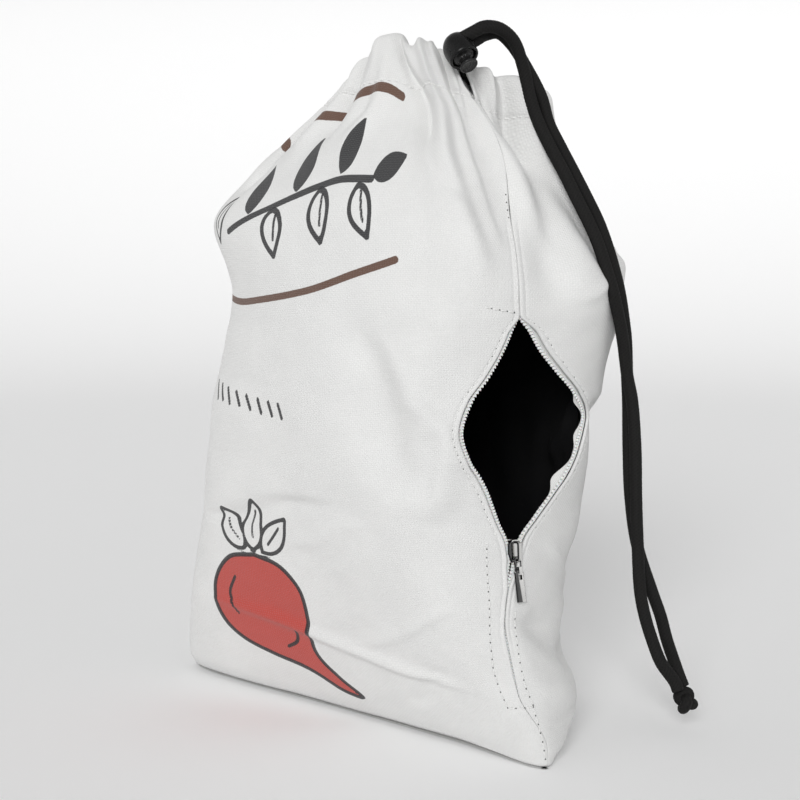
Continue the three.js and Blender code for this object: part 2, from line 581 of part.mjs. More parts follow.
function pullRing() {
  const ring = new THREE.TorusGeometry(RING_HALF_WIDTH, RING_WIRE / 2, 6, 16);
  const place = ring.attributes.position;
  const stretch = RING_LENGTH - 2 * RING_HALF_WIDTH;
  for (let i = 0; i < place.count; i += 1) {
    const y = place.getY(i);
    place.setY(i, y < -0.01 ? y - stretch : y);
  }
  return liftPull(ring.translate(0, RING_TOP - RING_HALF_WIDTH, RING_LEVEL));
}

function pullTab() {
  const bar = RING_TOP - RING_LENGTH;
  const halfWidth = PULL_WIDTH / 2;
  const back = -0.6;
  const edge = 0.3;
  const ridge = 0.8;
  const section = new THREE.Shape();
  section.moveTo(-halfWidth, back);
  section.lineTo(halfWidth, back);
  section.lineTo(halfWidth, edge);
  section.lineTo(0, ridge);
  section.lineTo(-halfWidth, edge);
  section.closePath();
  const top = bar - RING_WIRE / 2 - 0.5;
  const plate = new THREE.ExtrudeGeometry(section, { depth: PULL_LENGTH, bevelEnabled: false })
    .applyMatrix4(new THREE.Matrix4().makeBasis(new THREE.Vector3(1, 0, 0),
      new THREE.Vector3(0, 0, 1), new THREE.Vector3(0, -1, 0)))
    .translate(0, top, RING_LEVEL);
  const headHalf = RING_HALF_WIDTH / 2;
  const head = block([-headHalf, headHalf], [top - 0.5, bar + RING_WIRE / 2 + GAP + 0.5],
    [RING_LEVEL - 1.3, RING_LEVEL + 1.3]);
  const bore = new THREE.CylinderGeometry(RING_WIRE / 2 + 0.35, RING_WIRE / 2 + 0.35, 6, 12)
    .rotateZ(Math.PI / 2).translate(0, bar, RING_LEVEL);
  const eye = block([-1, 1], [top - 3.2, top - 1.2], [RING_LEVEL - 2, RING_LEVEL + 2]);
  return liftPull(toGeometry(toManifold(plate).add(toManifold(head))
    .subtract(toManifold(bore)).subtract(toManifold(eye))));
}

// Cord lock: x along the strands that leave it, y towards the top of the bell,
// z away from the bag, where the cord comes in from behind
const SOCKET = CORD / 2 + GAP;
const SOCKET_LEVEL = 1.6;
const SOCKET_FLOOR = 5.0;
const STRAND_HALF = CORD / 2 + 0.1;
const ENTRY_SHIFT = -0.6;
const CAVITY_RADIUS = LOCK_RADIUS - 1.8;
const CAVITY_TOP = 1.7;
const PLUNGER_HEAD_TOP = CAVITY_TOP + PLUNGER_TRAVEL + 0.2;

function lockBell() {
  const profile = [];
  for (let i = 0; i <= 6; i += 1) {
    const angle = Math.PI / 2 * i / 6;
    profile.push(new THREE.Vector2(LOCK_RADIUS * Math.sin(angle), LOCK_RADIUS * Math.cos(angle)));
  }
  profile.push(new THREE.Vector2(LOCK_RADIUS - 0.1, -LOCK_SKIRT + 0.5));
  profile.push(new THREE.Vector2(LOCK_RADIUS - 0.6, -LOCK_SKIRT));
  profile.push(new THREE.Vector2(CAVITY_RADIUS + 0.3, -LOCK_SKIRT));
  profile.push(new THREE.Vector2(CAVITY_RADIUS, -LOCK_SKIRT + 0.4));
  profile.push(new THREE.Vector2(CAVITY_RADIUS, -CAVITY_TOP));
  profile.push(new THREE.Vector2(0, -CAVITY_TOP));
  let bell = toManifold(new THREE.LatheGeometry(profile.reverse(), 16));
  const length = LOCK_RADIUS;
  const socket = () => new THREE.CylinderGeometry(SOCKET, SOCKET, length, 12);
  for (const sign of [-1, 1]) {
    const exit = socket().rotateZ(Math.PI / 2)
      .translate(SOCKET_FLOOR + length / 2, SOCKET_LEVEL, sign * STRAND_HALF);
    const entry = socket().rotateX(Math.PI / 2)
      .translate(sign * STRAND_HALF + ENTRY_SHIFT, SOCKET_LEVEL, -SOCKET_FLOOR - length / 2);
    bell = bell.subtract(toManifold(exit)).subtract(toManifold(entry));
  }
  return toGeometry(bell);
}

function lockPlunger() {
  const head = CAVITY_RADIUS - GAP;
  const profile = [[0, PLUNGER_HEAD_TOP], [head, PLUNGER_HEAD_TOP], [head, PLUNGER_HEAD_TOP + 1.2],
    [PLUNGER_RADIUS, PLUNGER_HEAD_TOP + 1.8], [PLUNGER_RADIUS, LOCK_SKIRT + 2.2],
    [BUTTON_RADIUS, LOCK_SKIRT + 3.8], [BUTTON_RADIUS, LOCK_SKIRT + 4.5], [0, LOCK_SKIRT + 4.8]];
  return new THREE.LatheGeometry(profile.map(([r, y]) => new THREE.Vector2(r, -y)).reverse(), 16);
}

const lockCentre = smoothPoint(0, 1).add(new THREE.Vector3(...LOCK_OFFSET));
const lockUp = new THREE.Vector3(...LOCK_AXIS).normalize().negate();
const lockExit = new THREE.Vector3(...LOCK_EXIT).normalize();
const lockFace = lockExit.clone().cross(lockUp).normalize();
lockExit.copy(lockUp).cross(lockFace);
const lockPlace = new THREE.Matrix4().makeBasis(lockExit, lockUp, lockFace).setPosition(lockCentre);

// Cords
function cordTube(points, steps, sides) {
  const circle = new THREE.Shape();
  for (let i = 0; i < sides; i += 1) {
    const angle = 2 * Math.PI * i / sides;
    const x = CORD / 2 * Math.cos(angle);
    const y = CORD / 2 * Math.sin(angle);
    if (i === 0) circle.moveTo(x, y);
    else circle.lineTo(x, y);
  }
  circle.closePath();
  const path = new THREE.CatmullRomCurve3(points, false, "centripetal");
  return new THREE.ExtrudeGeometry(circle, { steps, bevelEnabled: false, extrudePath: path });
}

function inLock(x, y, z) {
  return new THREE.Vector3(x, y, z).applyMatrix4(lockPlace);
}

// The cord inside the casing, from one socket of the lock round the mouth to the other
function drawcord() {
  const socketEnd = SOCKET_FLOOR + GAP;
  const first = -STRAND_HALF + ENTRY_SHIFT;
  const second = STRAND_HALF + ENTRY_SHIFT;
  const height = RIM_HEIGHT - CORD_BELOW * CASING_DEPTH;
  const round = [1, -1].flatMap((side) => panelColumns(side, PANEL_COLUMNS, lipDistance, height));
  const channel = round.map((around) => casingPoint(around, CORD_BELOW, 0.5, CLOTH / 2))
    .filter((point, i, all) => i === 0 || point.distanceTo(all[i - 1]) > CORD / 2);
  const lead = (end, next) => end.clone().addScaledVector(end.clone().sub(next).normalize(), CORD_LEAD);
  return cordTube([
    inLock(first, SOCKET_LEVEL, -socketEnd), inLock(first, SOCKET_LEVEL, -socketEnd - 3),
    lead(channel[0], channel[1]), ...channel, lead(channel.at(-1), channel.at(-2)),
    inLock(second, SOCKET_LEVEL, -socketEnd - 3), inLock(second, SOCKET_LEVEL, -socketEnd)], 72, 8);
}

const knotCentre = new THREE.Vector3(...KNOT_PLACE);
const knotAxis = new THREE.Vector3(...KNOT_AXIS).normalize();
const knotAcross = new THREE.Vector3(...KNOT_ACROSS);
knotAcross.addScaledVector(knotAxis, -knotAcross.dot(knotAxis)).normalize();

// A free strand from the lock to the knot
function strand(sign, route) {
  const exit = SOCKET_FLOOR + GAP;
  const end = knotCentre.clone().addScaledVector(knotAxis, -KNOT_LENGTH / 2 - GAP)
    .addScaledVector(knotAcross, sign * (CORD / 2 + 0.1));
  return cordTube([inLock(exit, SOCKET_LEVEL, sign * STRAND_HALF),
    inLock(exit + 3, SOCKET_LEVEL, sign * STRAND_HALF),
    ...route.map((place) => new THREE.Vector3(...place)),
    end.clone().addScaledVector(knotAxis, -4), end], 52, 8);
}

function knot() {
  const half = KNOT_LENGTH / 2;
  const profile = [[0, half], [KNOT_RADIUS - 0.4, half], [KNOT_RADIUS, half - 1.2],
    [0.8 * KNOT_RADIUS, half - 3.6], [KNOT_RADIUS, half - 6], [0.9 * KNOT_RADIUS, -half + 2],
    [0.6 * KNOT_RADIUS, -half], [0, -half]];
  const shape = new THREE.LatheGeometry(profile.map(([r, y]) => new THREE.Vector2(r, y)).reverse(), 12);
  const up = knotAxis.clone().negate();
  const side = knotAcross.clone();
  const place = new THREE.Matrix4().makeBasis(side, up, side.clone().cross(up));
  return shape.applyMatrix4(place.setPosition(knotCentre));
}

// Materials
const cotton = new THREE.MeshStandardMaterial({ color: 0xe6e5e1, roughness: 0.9, metalness: 0 });
const black_lining = new THREE.MeshStandardMaterial({ color: 0x101012, roughness: 0.95, metalness: 0 });
const white_nylon = new THREE.MeshStandardMaterial({ color: 0xe2e2e0, roughness: 0.6, metalness: 0 });
const nickel = new THREE.MeshStandardMaterial({ color: 0xb9babb, roughness: 0.25, metalness: 1 });
const black_cord = new THREE.MeshStandardMaterial({ color: 0x131312, roughness: 0.85, metalness: 0 });
const black_plastic = new THREE.MeshStandardMaterial({ color: 0x1c1c1d, roughness: 0.3, metalness: 0 });

// Assembly
const bag = new THREE.Group();

function add(parent, name, geometry, material) {
  const mesh = new THREE.Mesh(geometry, material);
  mesh.name = name;
  parent.add(mesh);
}

add(bag, "front_panel", frontPanel(), cotton);
add(bag, "back_panel", backPanel(), cotton);
add(bag, "lining_front", liningFront(), black_lining);
add(bag, "lining_back", liningBack(), black_lining);
add(bag, "zip_tape_front", zipTape(1), white_nylon);
add(bag, "zip_tape_back", zipTape(-1), white_nylon);
add(bag, "zip_coil_front", zipCoil(1), white_nylon);
add(bag, "zip_coil_back", zipCoil(-1), white_nylon);

const sliderRise = SLIDER_HEIGHT / RIM_HEIGHT;
const sliderOut = outward(0, sliderRise, clothPoint);
const sliderUp = clothPoint(0, sliderRise + 2 * STEP_RISE).sub(clothPoint(0, sliderRise - 2 * STEP_RISE));
sliderUp.addScaledVector(sliderOut, -sliderUp.dot(sliderOut)).normalize();
const zipSlider = new THREE.Group();
new THREE.Matrix4().makeBasis(sliderUp.clone().cross(sliderOut), sliderUp, sliderOut)
  .setPosition(clothPoint(0, sliderRise))
  .decompose(zipSlider.position, zipSlider.quaternion, zipSlider.scale);
add(zipSlider, "zip_slider", slider(), nickel);
add(zipSlider, "zip_pull_ring", pullRing(), nickel);
add(zipSlider, "zip_pull_tab", pullTab(), nickel);
bag.add(zipSlider);

const cordLock = new THREE.Group();
lockPlace.decompose(cordLock.position, cordLock.quaternion, cordLock.scale);
add(cordLock, "lock_bell", lockBell(), black_plastic);
add(cordLock, "lock_plunger", lockPlunger(), black_plastic);
bag.add(cordLock);

add(bag, "drawcord", drawcord(), black_cord);
add(bag, "cord_strand_a", strand(1, STRAND_A), black_cord);
add(bag, "cord_strand_b", strand(-1, STRAND_B), black_cord);
add(bag, "cord_knot", knot(), black_cord);

export default bag;
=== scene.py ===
"""Potato storage bag standing on its flat base.

A cotton bag with a black lining, a zipped opening in one side seam and a drawcord mouth. The
cloth, the zipper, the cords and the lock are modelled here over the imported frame. Lengths are
millimetres in the tables and metres in the meshes.
"""
from __future__ import annotations

import logging
import math
from dataclasses import dataclass
from enum import Enum
from typing import Callable, Sequence

import bmesh
import bpy
import numpy as np
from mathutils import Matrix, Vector

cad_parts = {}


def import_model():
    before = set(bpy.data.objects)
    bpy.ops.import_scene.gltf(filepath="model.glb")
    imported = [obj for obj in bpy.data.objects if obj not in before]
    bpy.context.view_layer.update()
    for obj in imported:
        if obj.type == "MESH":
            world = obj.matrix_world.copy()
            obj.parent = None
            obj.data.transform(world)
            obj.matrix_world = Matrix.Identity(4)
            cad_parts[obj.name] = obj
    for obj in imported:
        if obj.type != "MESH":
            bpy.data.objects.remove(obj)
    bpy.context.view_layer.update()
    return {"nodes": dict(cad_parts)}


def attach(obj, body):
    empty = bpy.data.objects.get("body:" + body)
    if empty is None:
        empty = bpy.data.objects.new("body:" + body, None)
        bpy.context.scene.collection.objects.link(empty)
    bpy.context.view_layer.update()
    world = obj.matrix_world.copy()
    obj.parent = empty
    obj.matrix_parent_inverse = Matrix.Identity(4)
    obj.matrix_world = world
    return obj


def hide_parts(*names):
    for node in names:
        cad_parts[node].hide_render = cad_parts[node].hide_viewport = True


LOG = logging.getLogger("storage_bag")
MM = 0.001

Array = np.ndarray
Form = Callable[[Array, Array], Array]
Mesh = tuple[Array, Array]
Place = tuple[float, float, float]
Colour = tuple[float, float, float]
Socket = bpy.types.NodeSocket

# Driving sizes, as in the part's source
RIM_HEIGHT = 288.0
BELLY_WIDTH = 186.0
BELLY_DEPTH = 132.0
HALF_WIDTH = BELLY_WIDTH / 2
HALF_DEPTH = BELLY_DEPTH / 2
GIRTH = 2.8 * BELLY_WIDTH
CORD = 5.5
CASING_DEPTH = 17.0
CASING_WIDTH = 9.0
ZIP_BOTTOM = 24.0
ZIP_TOP = 184.0
SLIDER_HEIGHT = 86.5
OPENING_FRONT = 34.0
OPENING_BACK = 47.0
CASING_END_FRONT = 9.0
CASING_END_BACK = 1.5
LIP_AT_SLIDER = 4.4
COIL_AT_SLIDER = 2.2
COIL_CLOSED = 0.85


@dataclass(frozen=True)
class Section:
    """One level of the cloth's form.

    Args:
        rise: height as a share of the rim height.
        stations: eight places round the section, from the zipped seam over the front, each a
            share of the half width and of the half depth.
        peak: how far the front of the level is raised, as a share of the rim height.
        side: how far its zipped side is raised.
    """

    rise: float
    stations: tuple[tuple[float, float], ...]
    peak: float
    side: float


@dataclass(frozen=True)
class Fold:
    """A fold between two places on the cloth, outwards where depth is positive.

    Args:
        around: start and end round the bag, as shares of its girth.
        rise: start and end height, as shares of the rim height.
        width: half width of the fold, as a share of the girth.
        depth: its height, as a share of the belly's depth.
        sharp: how steep its second side is, 1 for an even fold.
    """

    around: tuple[float, float]
    rise: tuple[float, float]
    width: float
    depth: float
    sharp: float = 1.0


# The cloth's form, as in the part's source
SECTIONS = (
    Section(0.000, ((1.23, 0.00), (0.67, -0.11), (0.00, -0.24), (-1.08, -0.45),
                    (-1.15, -0.12), (-0.90, 0.67), (0.00, 0.82), (0.71, 0.55)), 0.000, 0.000),
    Section(0.031, ((1.22, 0.00), (0.71, -0.18), (0.00, -0.35), (-1.05, -0.55),
                    (-1.16, -0.06), (-0.88, 0.79), (0.00, 0.94), (0.77, 0.73)), 0.000, 0.000),
    Section(0.115, ((1.12, 0.02), (0.73, -0.32), (0.00, -0.52), (-0.96, -0.64),
                    (-1.13, 0.03), (-0.85, 0.88), (0.00, 1.05), (0.80, 0.83)), 0.000, 0.000),
    Section(0.208, ((1.03, 0.03), (0.75, -0.45), (0.00, -0.64), (-0.87, -0.68),
                    (-1.09, 0.06), (-0.81, 0.91), (0.00, 1.12), (0.74, 0.82)), 0.000, 0.000),
    Section(0.333, ((0.97, 0.06), (0.73, -0.58), (0.00, -0.74), (-0.78, -0.68),
                    (-1.04, 0.06), (-0.77, 0.94), (0.00, 1.17), (0.77, 0.89)), 0.000, 0.000),
    Section(0.469, ((0.97, 0.12), (0.75, -0.61), (0.00, -0.77), (-0.75, -0.64),
                    (-1.01, 0.09), (-0.75, 0.94), (0.00, 1.20), (0.81, 0.95)), 0.000, 0.000),
    Section(0.583, ((0.98, 0.09), (0.75, -0.58), (0.00, -0.74), (-0.71, -0.55),
                    (-0.99, 0.12), (-0.73, 0.94), (0.00, 1.26), (0.86, 1.09)), 0.000, 0.000),
    Section(0.667, ((0.98, 0.06), (0.73, -0.52), (0.00, -0.70), (-0.69, -0.50),
                    (-0.99, 0.15), (-0.71, 0.94), (0.00, 1.27), (0.89, 1.17)), 0.000, 0.000),
    Section(0.771, ((0.84, 0.18), (0.65, -0.45), (0.00, -0.64), (-0.76, -0.58),
                    (-1.05, 0.12), (-0.71, 1.00), (0.02, 1.21), (0.83, 1.06)), 0.003, 0.000),
    Section(0.854, ((0.71, 0.24), (0.54, -0.27), (0.02, -0.44), (-0.69, -0.30),
                    (-0.90, 0.15), (-0.56, 0.97), (0.09, 1.15), (0.74, 0.97)), 0.017, 0.003),
    Section(0.927, ((0.58, 0.21), (0.45, -0.03), (0.09, -0.21), (-0.39, -0.08),
                    (-0.58, 0.27), (-0.32, 0.88), (0.15, 1.03), (0.63, 0.85)), 0.038, 0.010),
    Section(0.969, ((0.53, 0.18), (0.40, -0.03), (0.11, -0.15), (-0.26, -0.02),
                    (-0.45, 0.33), (-0.26, 0.85), (0.19, 0.98), (0.63, 0.79)), 0.049, 0.017),
    Section(1.000, ((0.49, 0.15), (0.37, -0.03), (0.11, -0.12), (-0.19, 0.03),
                    (-0.39, 0.36), (-0.22, 0.85), (0.22, 0.97), (0.62, 0.76)), 0.052, 0.021),
)
FOLDS = (
    Fold((0.045, 0.130), (0.71, 1.02), 0.017, 0.045),
    Fold((0.235, 0.200), (0.88, 1.05), 0.014, -0.036),
    Fold((-0.035, -0.050), (0.69, 0.99), 0.017, -0.060),
    Fold((0.360, 0.300), (0.81, 1.05), 0.014, -0.036),
    Fold((0.420, 0.360), (0.83, 1.02), 0.012, -0.030),
    Fold((0.470, 0.420), (0.80, 1.02), 0.014, -0.040),
    Fold((0.130, 0.170), (0.40, 0.62), 0.026, -0.045),
    Fold((0.095, 0.080), (0.36, 0.50), 0.022, 0.024),
    Fold((0.230, 0.330), (0.36, 0.30), 0.030, -0.022),
    Fold((0.120, 0.300), (0.10, 0.16), 0.030, 0.020),
    Fold((-0.150, -0.110), (0.40, 0.50), 0.016, -0.036),
    Fold((-0.200, -0.130), (0.60, 0.72), 0.018, 0.030),
    Fold((-0.260, -0.330), (0.20, 0.55), 0.030, -0.036),
    Fold((-0.180, -0.190), (0.80, 1.02), 0.014, -0.036),
    Fold((-0.290, -0.270), (0.80, 1.02), 0.014, -0.036),
    Fold((-0.400, -0.360), (0.80, 1.02), 0.014, -0.036),
)
# Middles of the two strands, from the lock to the knot, in millimetres
STRAND_A = (
    (60.6, 11.8, 304.9), (61.2, 20.4, 304.8), (61.4, 28.4, 300.4), (60.8, 34.6, 290.4),
    (61.9, 38.5, 276.0), (64.4, 41.0, 266.1), (69.5, 43.6, 254.9), (75.9, 44.6, 245.1),
    (82.1, 46.9, 233.0), (86.7, 49.3, 223.3), (90.5, 51.3, 214.1), (93.6, 53.1, 203.8),
    (95.8, 55.4, 193.4), (95.8, 59.5, 182.0), (95.2, 63.0, 172.0), (95.4, 66.0, 156.5),
    (97.2, 67.2, 146.0), (99.6, 67.2, 125.0), (101.5, 66.0, 104.0), (103.7, 65.0, 83.5),
    (106.0, 64.6, 62.5), (108.2, 65.4, 52.0), (111.0, 67.0, 42.0), (114.8, 68.9, 32.0),
)
STRAND_B = (
    (54.4, 17.9, 302.7), (55.6, 24.5, 304.1), (55.8, 32.5, 299.9), (57.6, 40.1, 290.1),
    (62.0, 44.8, 277.8), (64.2, 47.4, 266.5), (68.9, 50.2, 255.9), (75.8, 51.0, 245.3),
    (81.8, 53.7, 233.3), (85.9, 56.3, 223.6), (89.5, 57.7, 214.2), (92.3, 59.5, 203.7),
    (94.1, 61.4, 193.3), (93.0, 65.6, 181.6), (91.6, 69.0, 171.8), (90.8, 71.0, 156.0),
    (91.6, 71.0, 145.4), (93.2, 70.0, 124.4), (95.2, 69.4, 103.3), (98.9, 70.0, 82.2),
    (105.6, 73.0, 61.2), (108.8, 75.2, 50.6), (111.3, 76.6, 40.5), (113.4, 79.0, 31.2),
)
# Creases too fine for the solids
CREASES = (
    Fold((0.228, 0.212), (0.86, 1.02), 0.0260, 0.040, 1.3),
    Fold((0.098, 0.188), (0.870, 1.00), 0.0160, -0.036, 1.7),
    Fold((0.070, 0.128), (0.80, 0.90), 0.0180, -0.022, 1.6),
    Fold((0.264, 0.268), (0.89, 1.02), 0.0110, -0.040, 2.2),
    Fold((0.300, 0.285), (0.86, 1.02), 0.0150, 0.026, 1.4),
    Fold((0.372, 0.300), (0.83, 0.955), 0.0130, -0.040, 1.8),
    Fold((0.355, 0.335), (0.86, 1.02), 0.0110, 0.022, 1.4),
    Fold((0.070, 0.085), (0.90, 1.02), 0.0170, 0.024, 1.4),
    Fold((0.052, 0.045), (0.93, 1.02), 0.0090, -0.014, 1.4),
    Fold((0.038, 0.030), (0.92, 1.02), 0.0090, 0.012, 1.4),
    Fold((-0.062, 0.012), (0.65, 0.945), 0.0170, 0.046, 0.55),
    Fold((-0.104, -0.046), (0.66, 0.95), 0.0180, -0.036, 1.0),
    Fold((0.022, 0.060), (0.74, 0.92), 0.0130, 0.018, 1.6),
    Fold((-0.020, -0.024), (0.90, 1.01), 0.0080, -0.030, 1.4),
    Fold((-0.040, -0.044), (0.89, 1.01), 0.0070, 0.028, 1.4),
    Fold((-0.058, -0.062), (0.89, 1.01), 0.0060, -0.028, 1.4),
    Fold((-0.078, -0.080), (0.89, 1.01), 0.0080, 0.026, 1.4),
    Fold((-0.099, -0.102), (0.89, 1.01), 0.0060, -0.026, 1.4),
    Fold((-0.122, -0.124), (0.90, 1.01), 0.0070, 0.022, 1.4),
    Fold((-0.120, -0.020), (0.09, 0.20), 0.0300, -0.034, 1.0),
    Fold((-0.150, -0.020), (0.00, 0.11), 0.0340, 0.022, 1.0),
    Fold((-0.110, -0.122), (0.105, 0.178), 0.0340, -0.0348, 1.0),
    Fold((-0.040, -0.062), (0.014, 0.050), 0.0280, 0.0150, 1.0),
    Fold((-0.112, -0.118), (0.27, 0.52), 0.0300, 0.0197, 1.0),
    Fold((0.104, 0.096), (0.375, 0.475), 0.0110, -0.018, 1.6),
    Fold((0.060, 0.110), (0.42, 0.52), 0.0200, 0.016, 1.6),
    Fold((0.108, 0.160), (0.50, 0.62), 0.0160, 0.014, 1.4),
    Fold((0.175, 0.235), (0.34, 0.285), 0.0180, 0.009, 1.4),
    Fold((0.150, 0.120), (0.055, 0.12), 0.0150, -0.012, 1.6),
    Fold((0.190, 0.100), (0.14, 0.22), 0.0180, 0.010, 1.6),
    Fold((-0.060, -0.120), (0.66, 0.74), 0.0100, 0.010, 1.4),
    Fold((-0.050, -0.110), (0.30, 0.22), 0.0110, 0.009, 1.4),
    Fold((-0.150, -0.200), (0.50, 0.56), 0.0100, -0.009, 1.4),
    Fold((-0.240, -0.300), (0.64, 0.76), 0.0120, 0.014, 1.4),
    Fold((-0.330, -0.380), (0.56, 0.74), 0.0120, -0.012, 1.4),
    Fold((0.440, 0.400), (0.60, 0.78), 0.0120, 0.012, 1.4),
)
# Places round the rim where it is raised or lowered: middle, half width, lift in millimetres
RIM_LIFTS = ((0.345, 0.050, -9.0), (0.275, 0.030, -3.5), (0.195, 0.022, 1.5),
             (0.155, 0.020, -4.5), (0.105, 0.020, -1.5))
# Half widths of the zipped opening at heights, as shares of its widest place
GAPE_HEIGHTS = (83.0, 90.5, 99.5, 108.5, 116.7, 125.0, 137.4, 149.8, 160.0, 170.4, 179.0, 184.0)
GAPE_FRONT = (0.0, 0.10, 0.29, 0.46, 0.64, 0.86, 1.0, 0.83, 0.53, 0.26, 0.08, 0.0)
GAPE_BACK = (0.0, 0.06, 0.30, 0.54, 0.74, 0.87, 0.94, 0.68, 0.41, 0.20, 0.08, 0.0)
# Places where the closed seam is slack: height, reach and share
SLACK_SEAM = ((52.0, 9.0, 1.0), (38.0, 5.0, 0.8), (72.0, 10.0, 0.7))
# Places where the hem behind the back tape shows past the coil: height, reach and how far
HEM_TONGUES = ((145.0, 3.2, 2.4), (131.0, 3.6, 2.2), (114.0, 4.2, 5.0))
PLEAT_COUNT = 30
PLEAT_DEPTH = 0.0065
PLEAT_START = 0.93


def smooth_step(low: float, high: float, value: Array | float) -> Array:
    """Ease from 0 at low to 1 at high: three squares of the share between, less two cubes."""
    t = np.clip((np.asarray(value, float) - low) / (high - low), 0.0, 1.0)
    return t * t * (3.0 - 2.0 * t)


def hermite(start: Array, end: Array, slope_start: Array, slope_end: Array, t: Array) -> Array:
    """Cubic over t from start to end that leaves and arrives with the given slopes."""
    t2, t3 = t * t, t * t * t
    return ((2 * t3 - 3 * t2 + 1) * start + (t3 - 2 * t2 + t) * slope_start
            + (3 * t2 - 2 * t3) * end + (t3 - t2) * slope_end)


class SmoothTable:
    """Columns of numbers over places, as smooth curves that never overshoot them."""

    def __init__(self, places: Sequence[float], values: Sequence[Sequence[float]]) -> None:
        """Work out the slopes.

        Inside the table a slope is the weighted harmonic mean of the steps on both sides, and 0
        where they turn.

        Args:
            places: place of each row.
            values: the rows.
        """
        self.places = np.array(places)
        self.values = np.array(values)
        gaps = np.diff(self.places)[:, None]
        steps = np.diff(self.values, axis=0) / gaps
        before, after = steps[:-1], steps[1:]
        a = 2 * gaps[1:] + gaps[:-1]
        b = gaps[1:] + 2 * gaps[:-1]
        same = before * after > 0
        safe_before = np.where(same, before, 1.0)
        safe_after = np.where(same, after, 1.0)
        inner = np.where(same, (a + b) / (a / safe_before + b / safe_after), 0.0)
        self.slopes = np.vstack([steps[:1], inner, steps[-1:]])

    def at(self, place: Array) -> Array:
        """Rows at any places, on cubics from row to row.

        Args:
            place: the places.

        Returns:
            A row for each.
        """
        i = np.searchsorted(self.places, place, side="right") - 1
        i = np.clip(i, 0, len(self.places) - 2)
        span = self.places[i + 1] - self.places[i]
        t = np.clip((place - self.places[i]) / span, 0, 1)[..., None]
        span = span[..., None]
        return hermite(self.values[i], self.values[i + 1], self.slopes[i] * span,
                       self.slopes[i + 1] * span, t)


def unit(vectors: Array) -> Array:
    """Vectors of length one, along the last axis."""
    return vectors / np.maximum(np.linalg.norm(vectors, axis=-1, keepdims=True), 1e-9)


def drift(u: Array, v: Array, size: float, seed: int) -> Array:
    """Slow random waves over the cloth: nine sines of random ways and lengths, added up.

    Args:
        u: places along the first direction.
        v: places along the second.
        size: their mean length.
        seed: seed of the random numbers.

    Returns:
        Heights of about -1 to 1.
    """
    chance = np.random.default_rng(seed)
    total = np.zeros(np.broadcast(u, v).shape)
    for _ in range(9):
        angle = chance.uniform(0, math.pi)
        wave = 2 * math.pi / (size * chance.uniform(0.6, 1.7))
        phase = chance.uniform(0, 2 * math.pi)
        total += np.sin(wave * (u * math.cos(angle) + v * math.sin(angle)) + phase)
    return total / 4.0


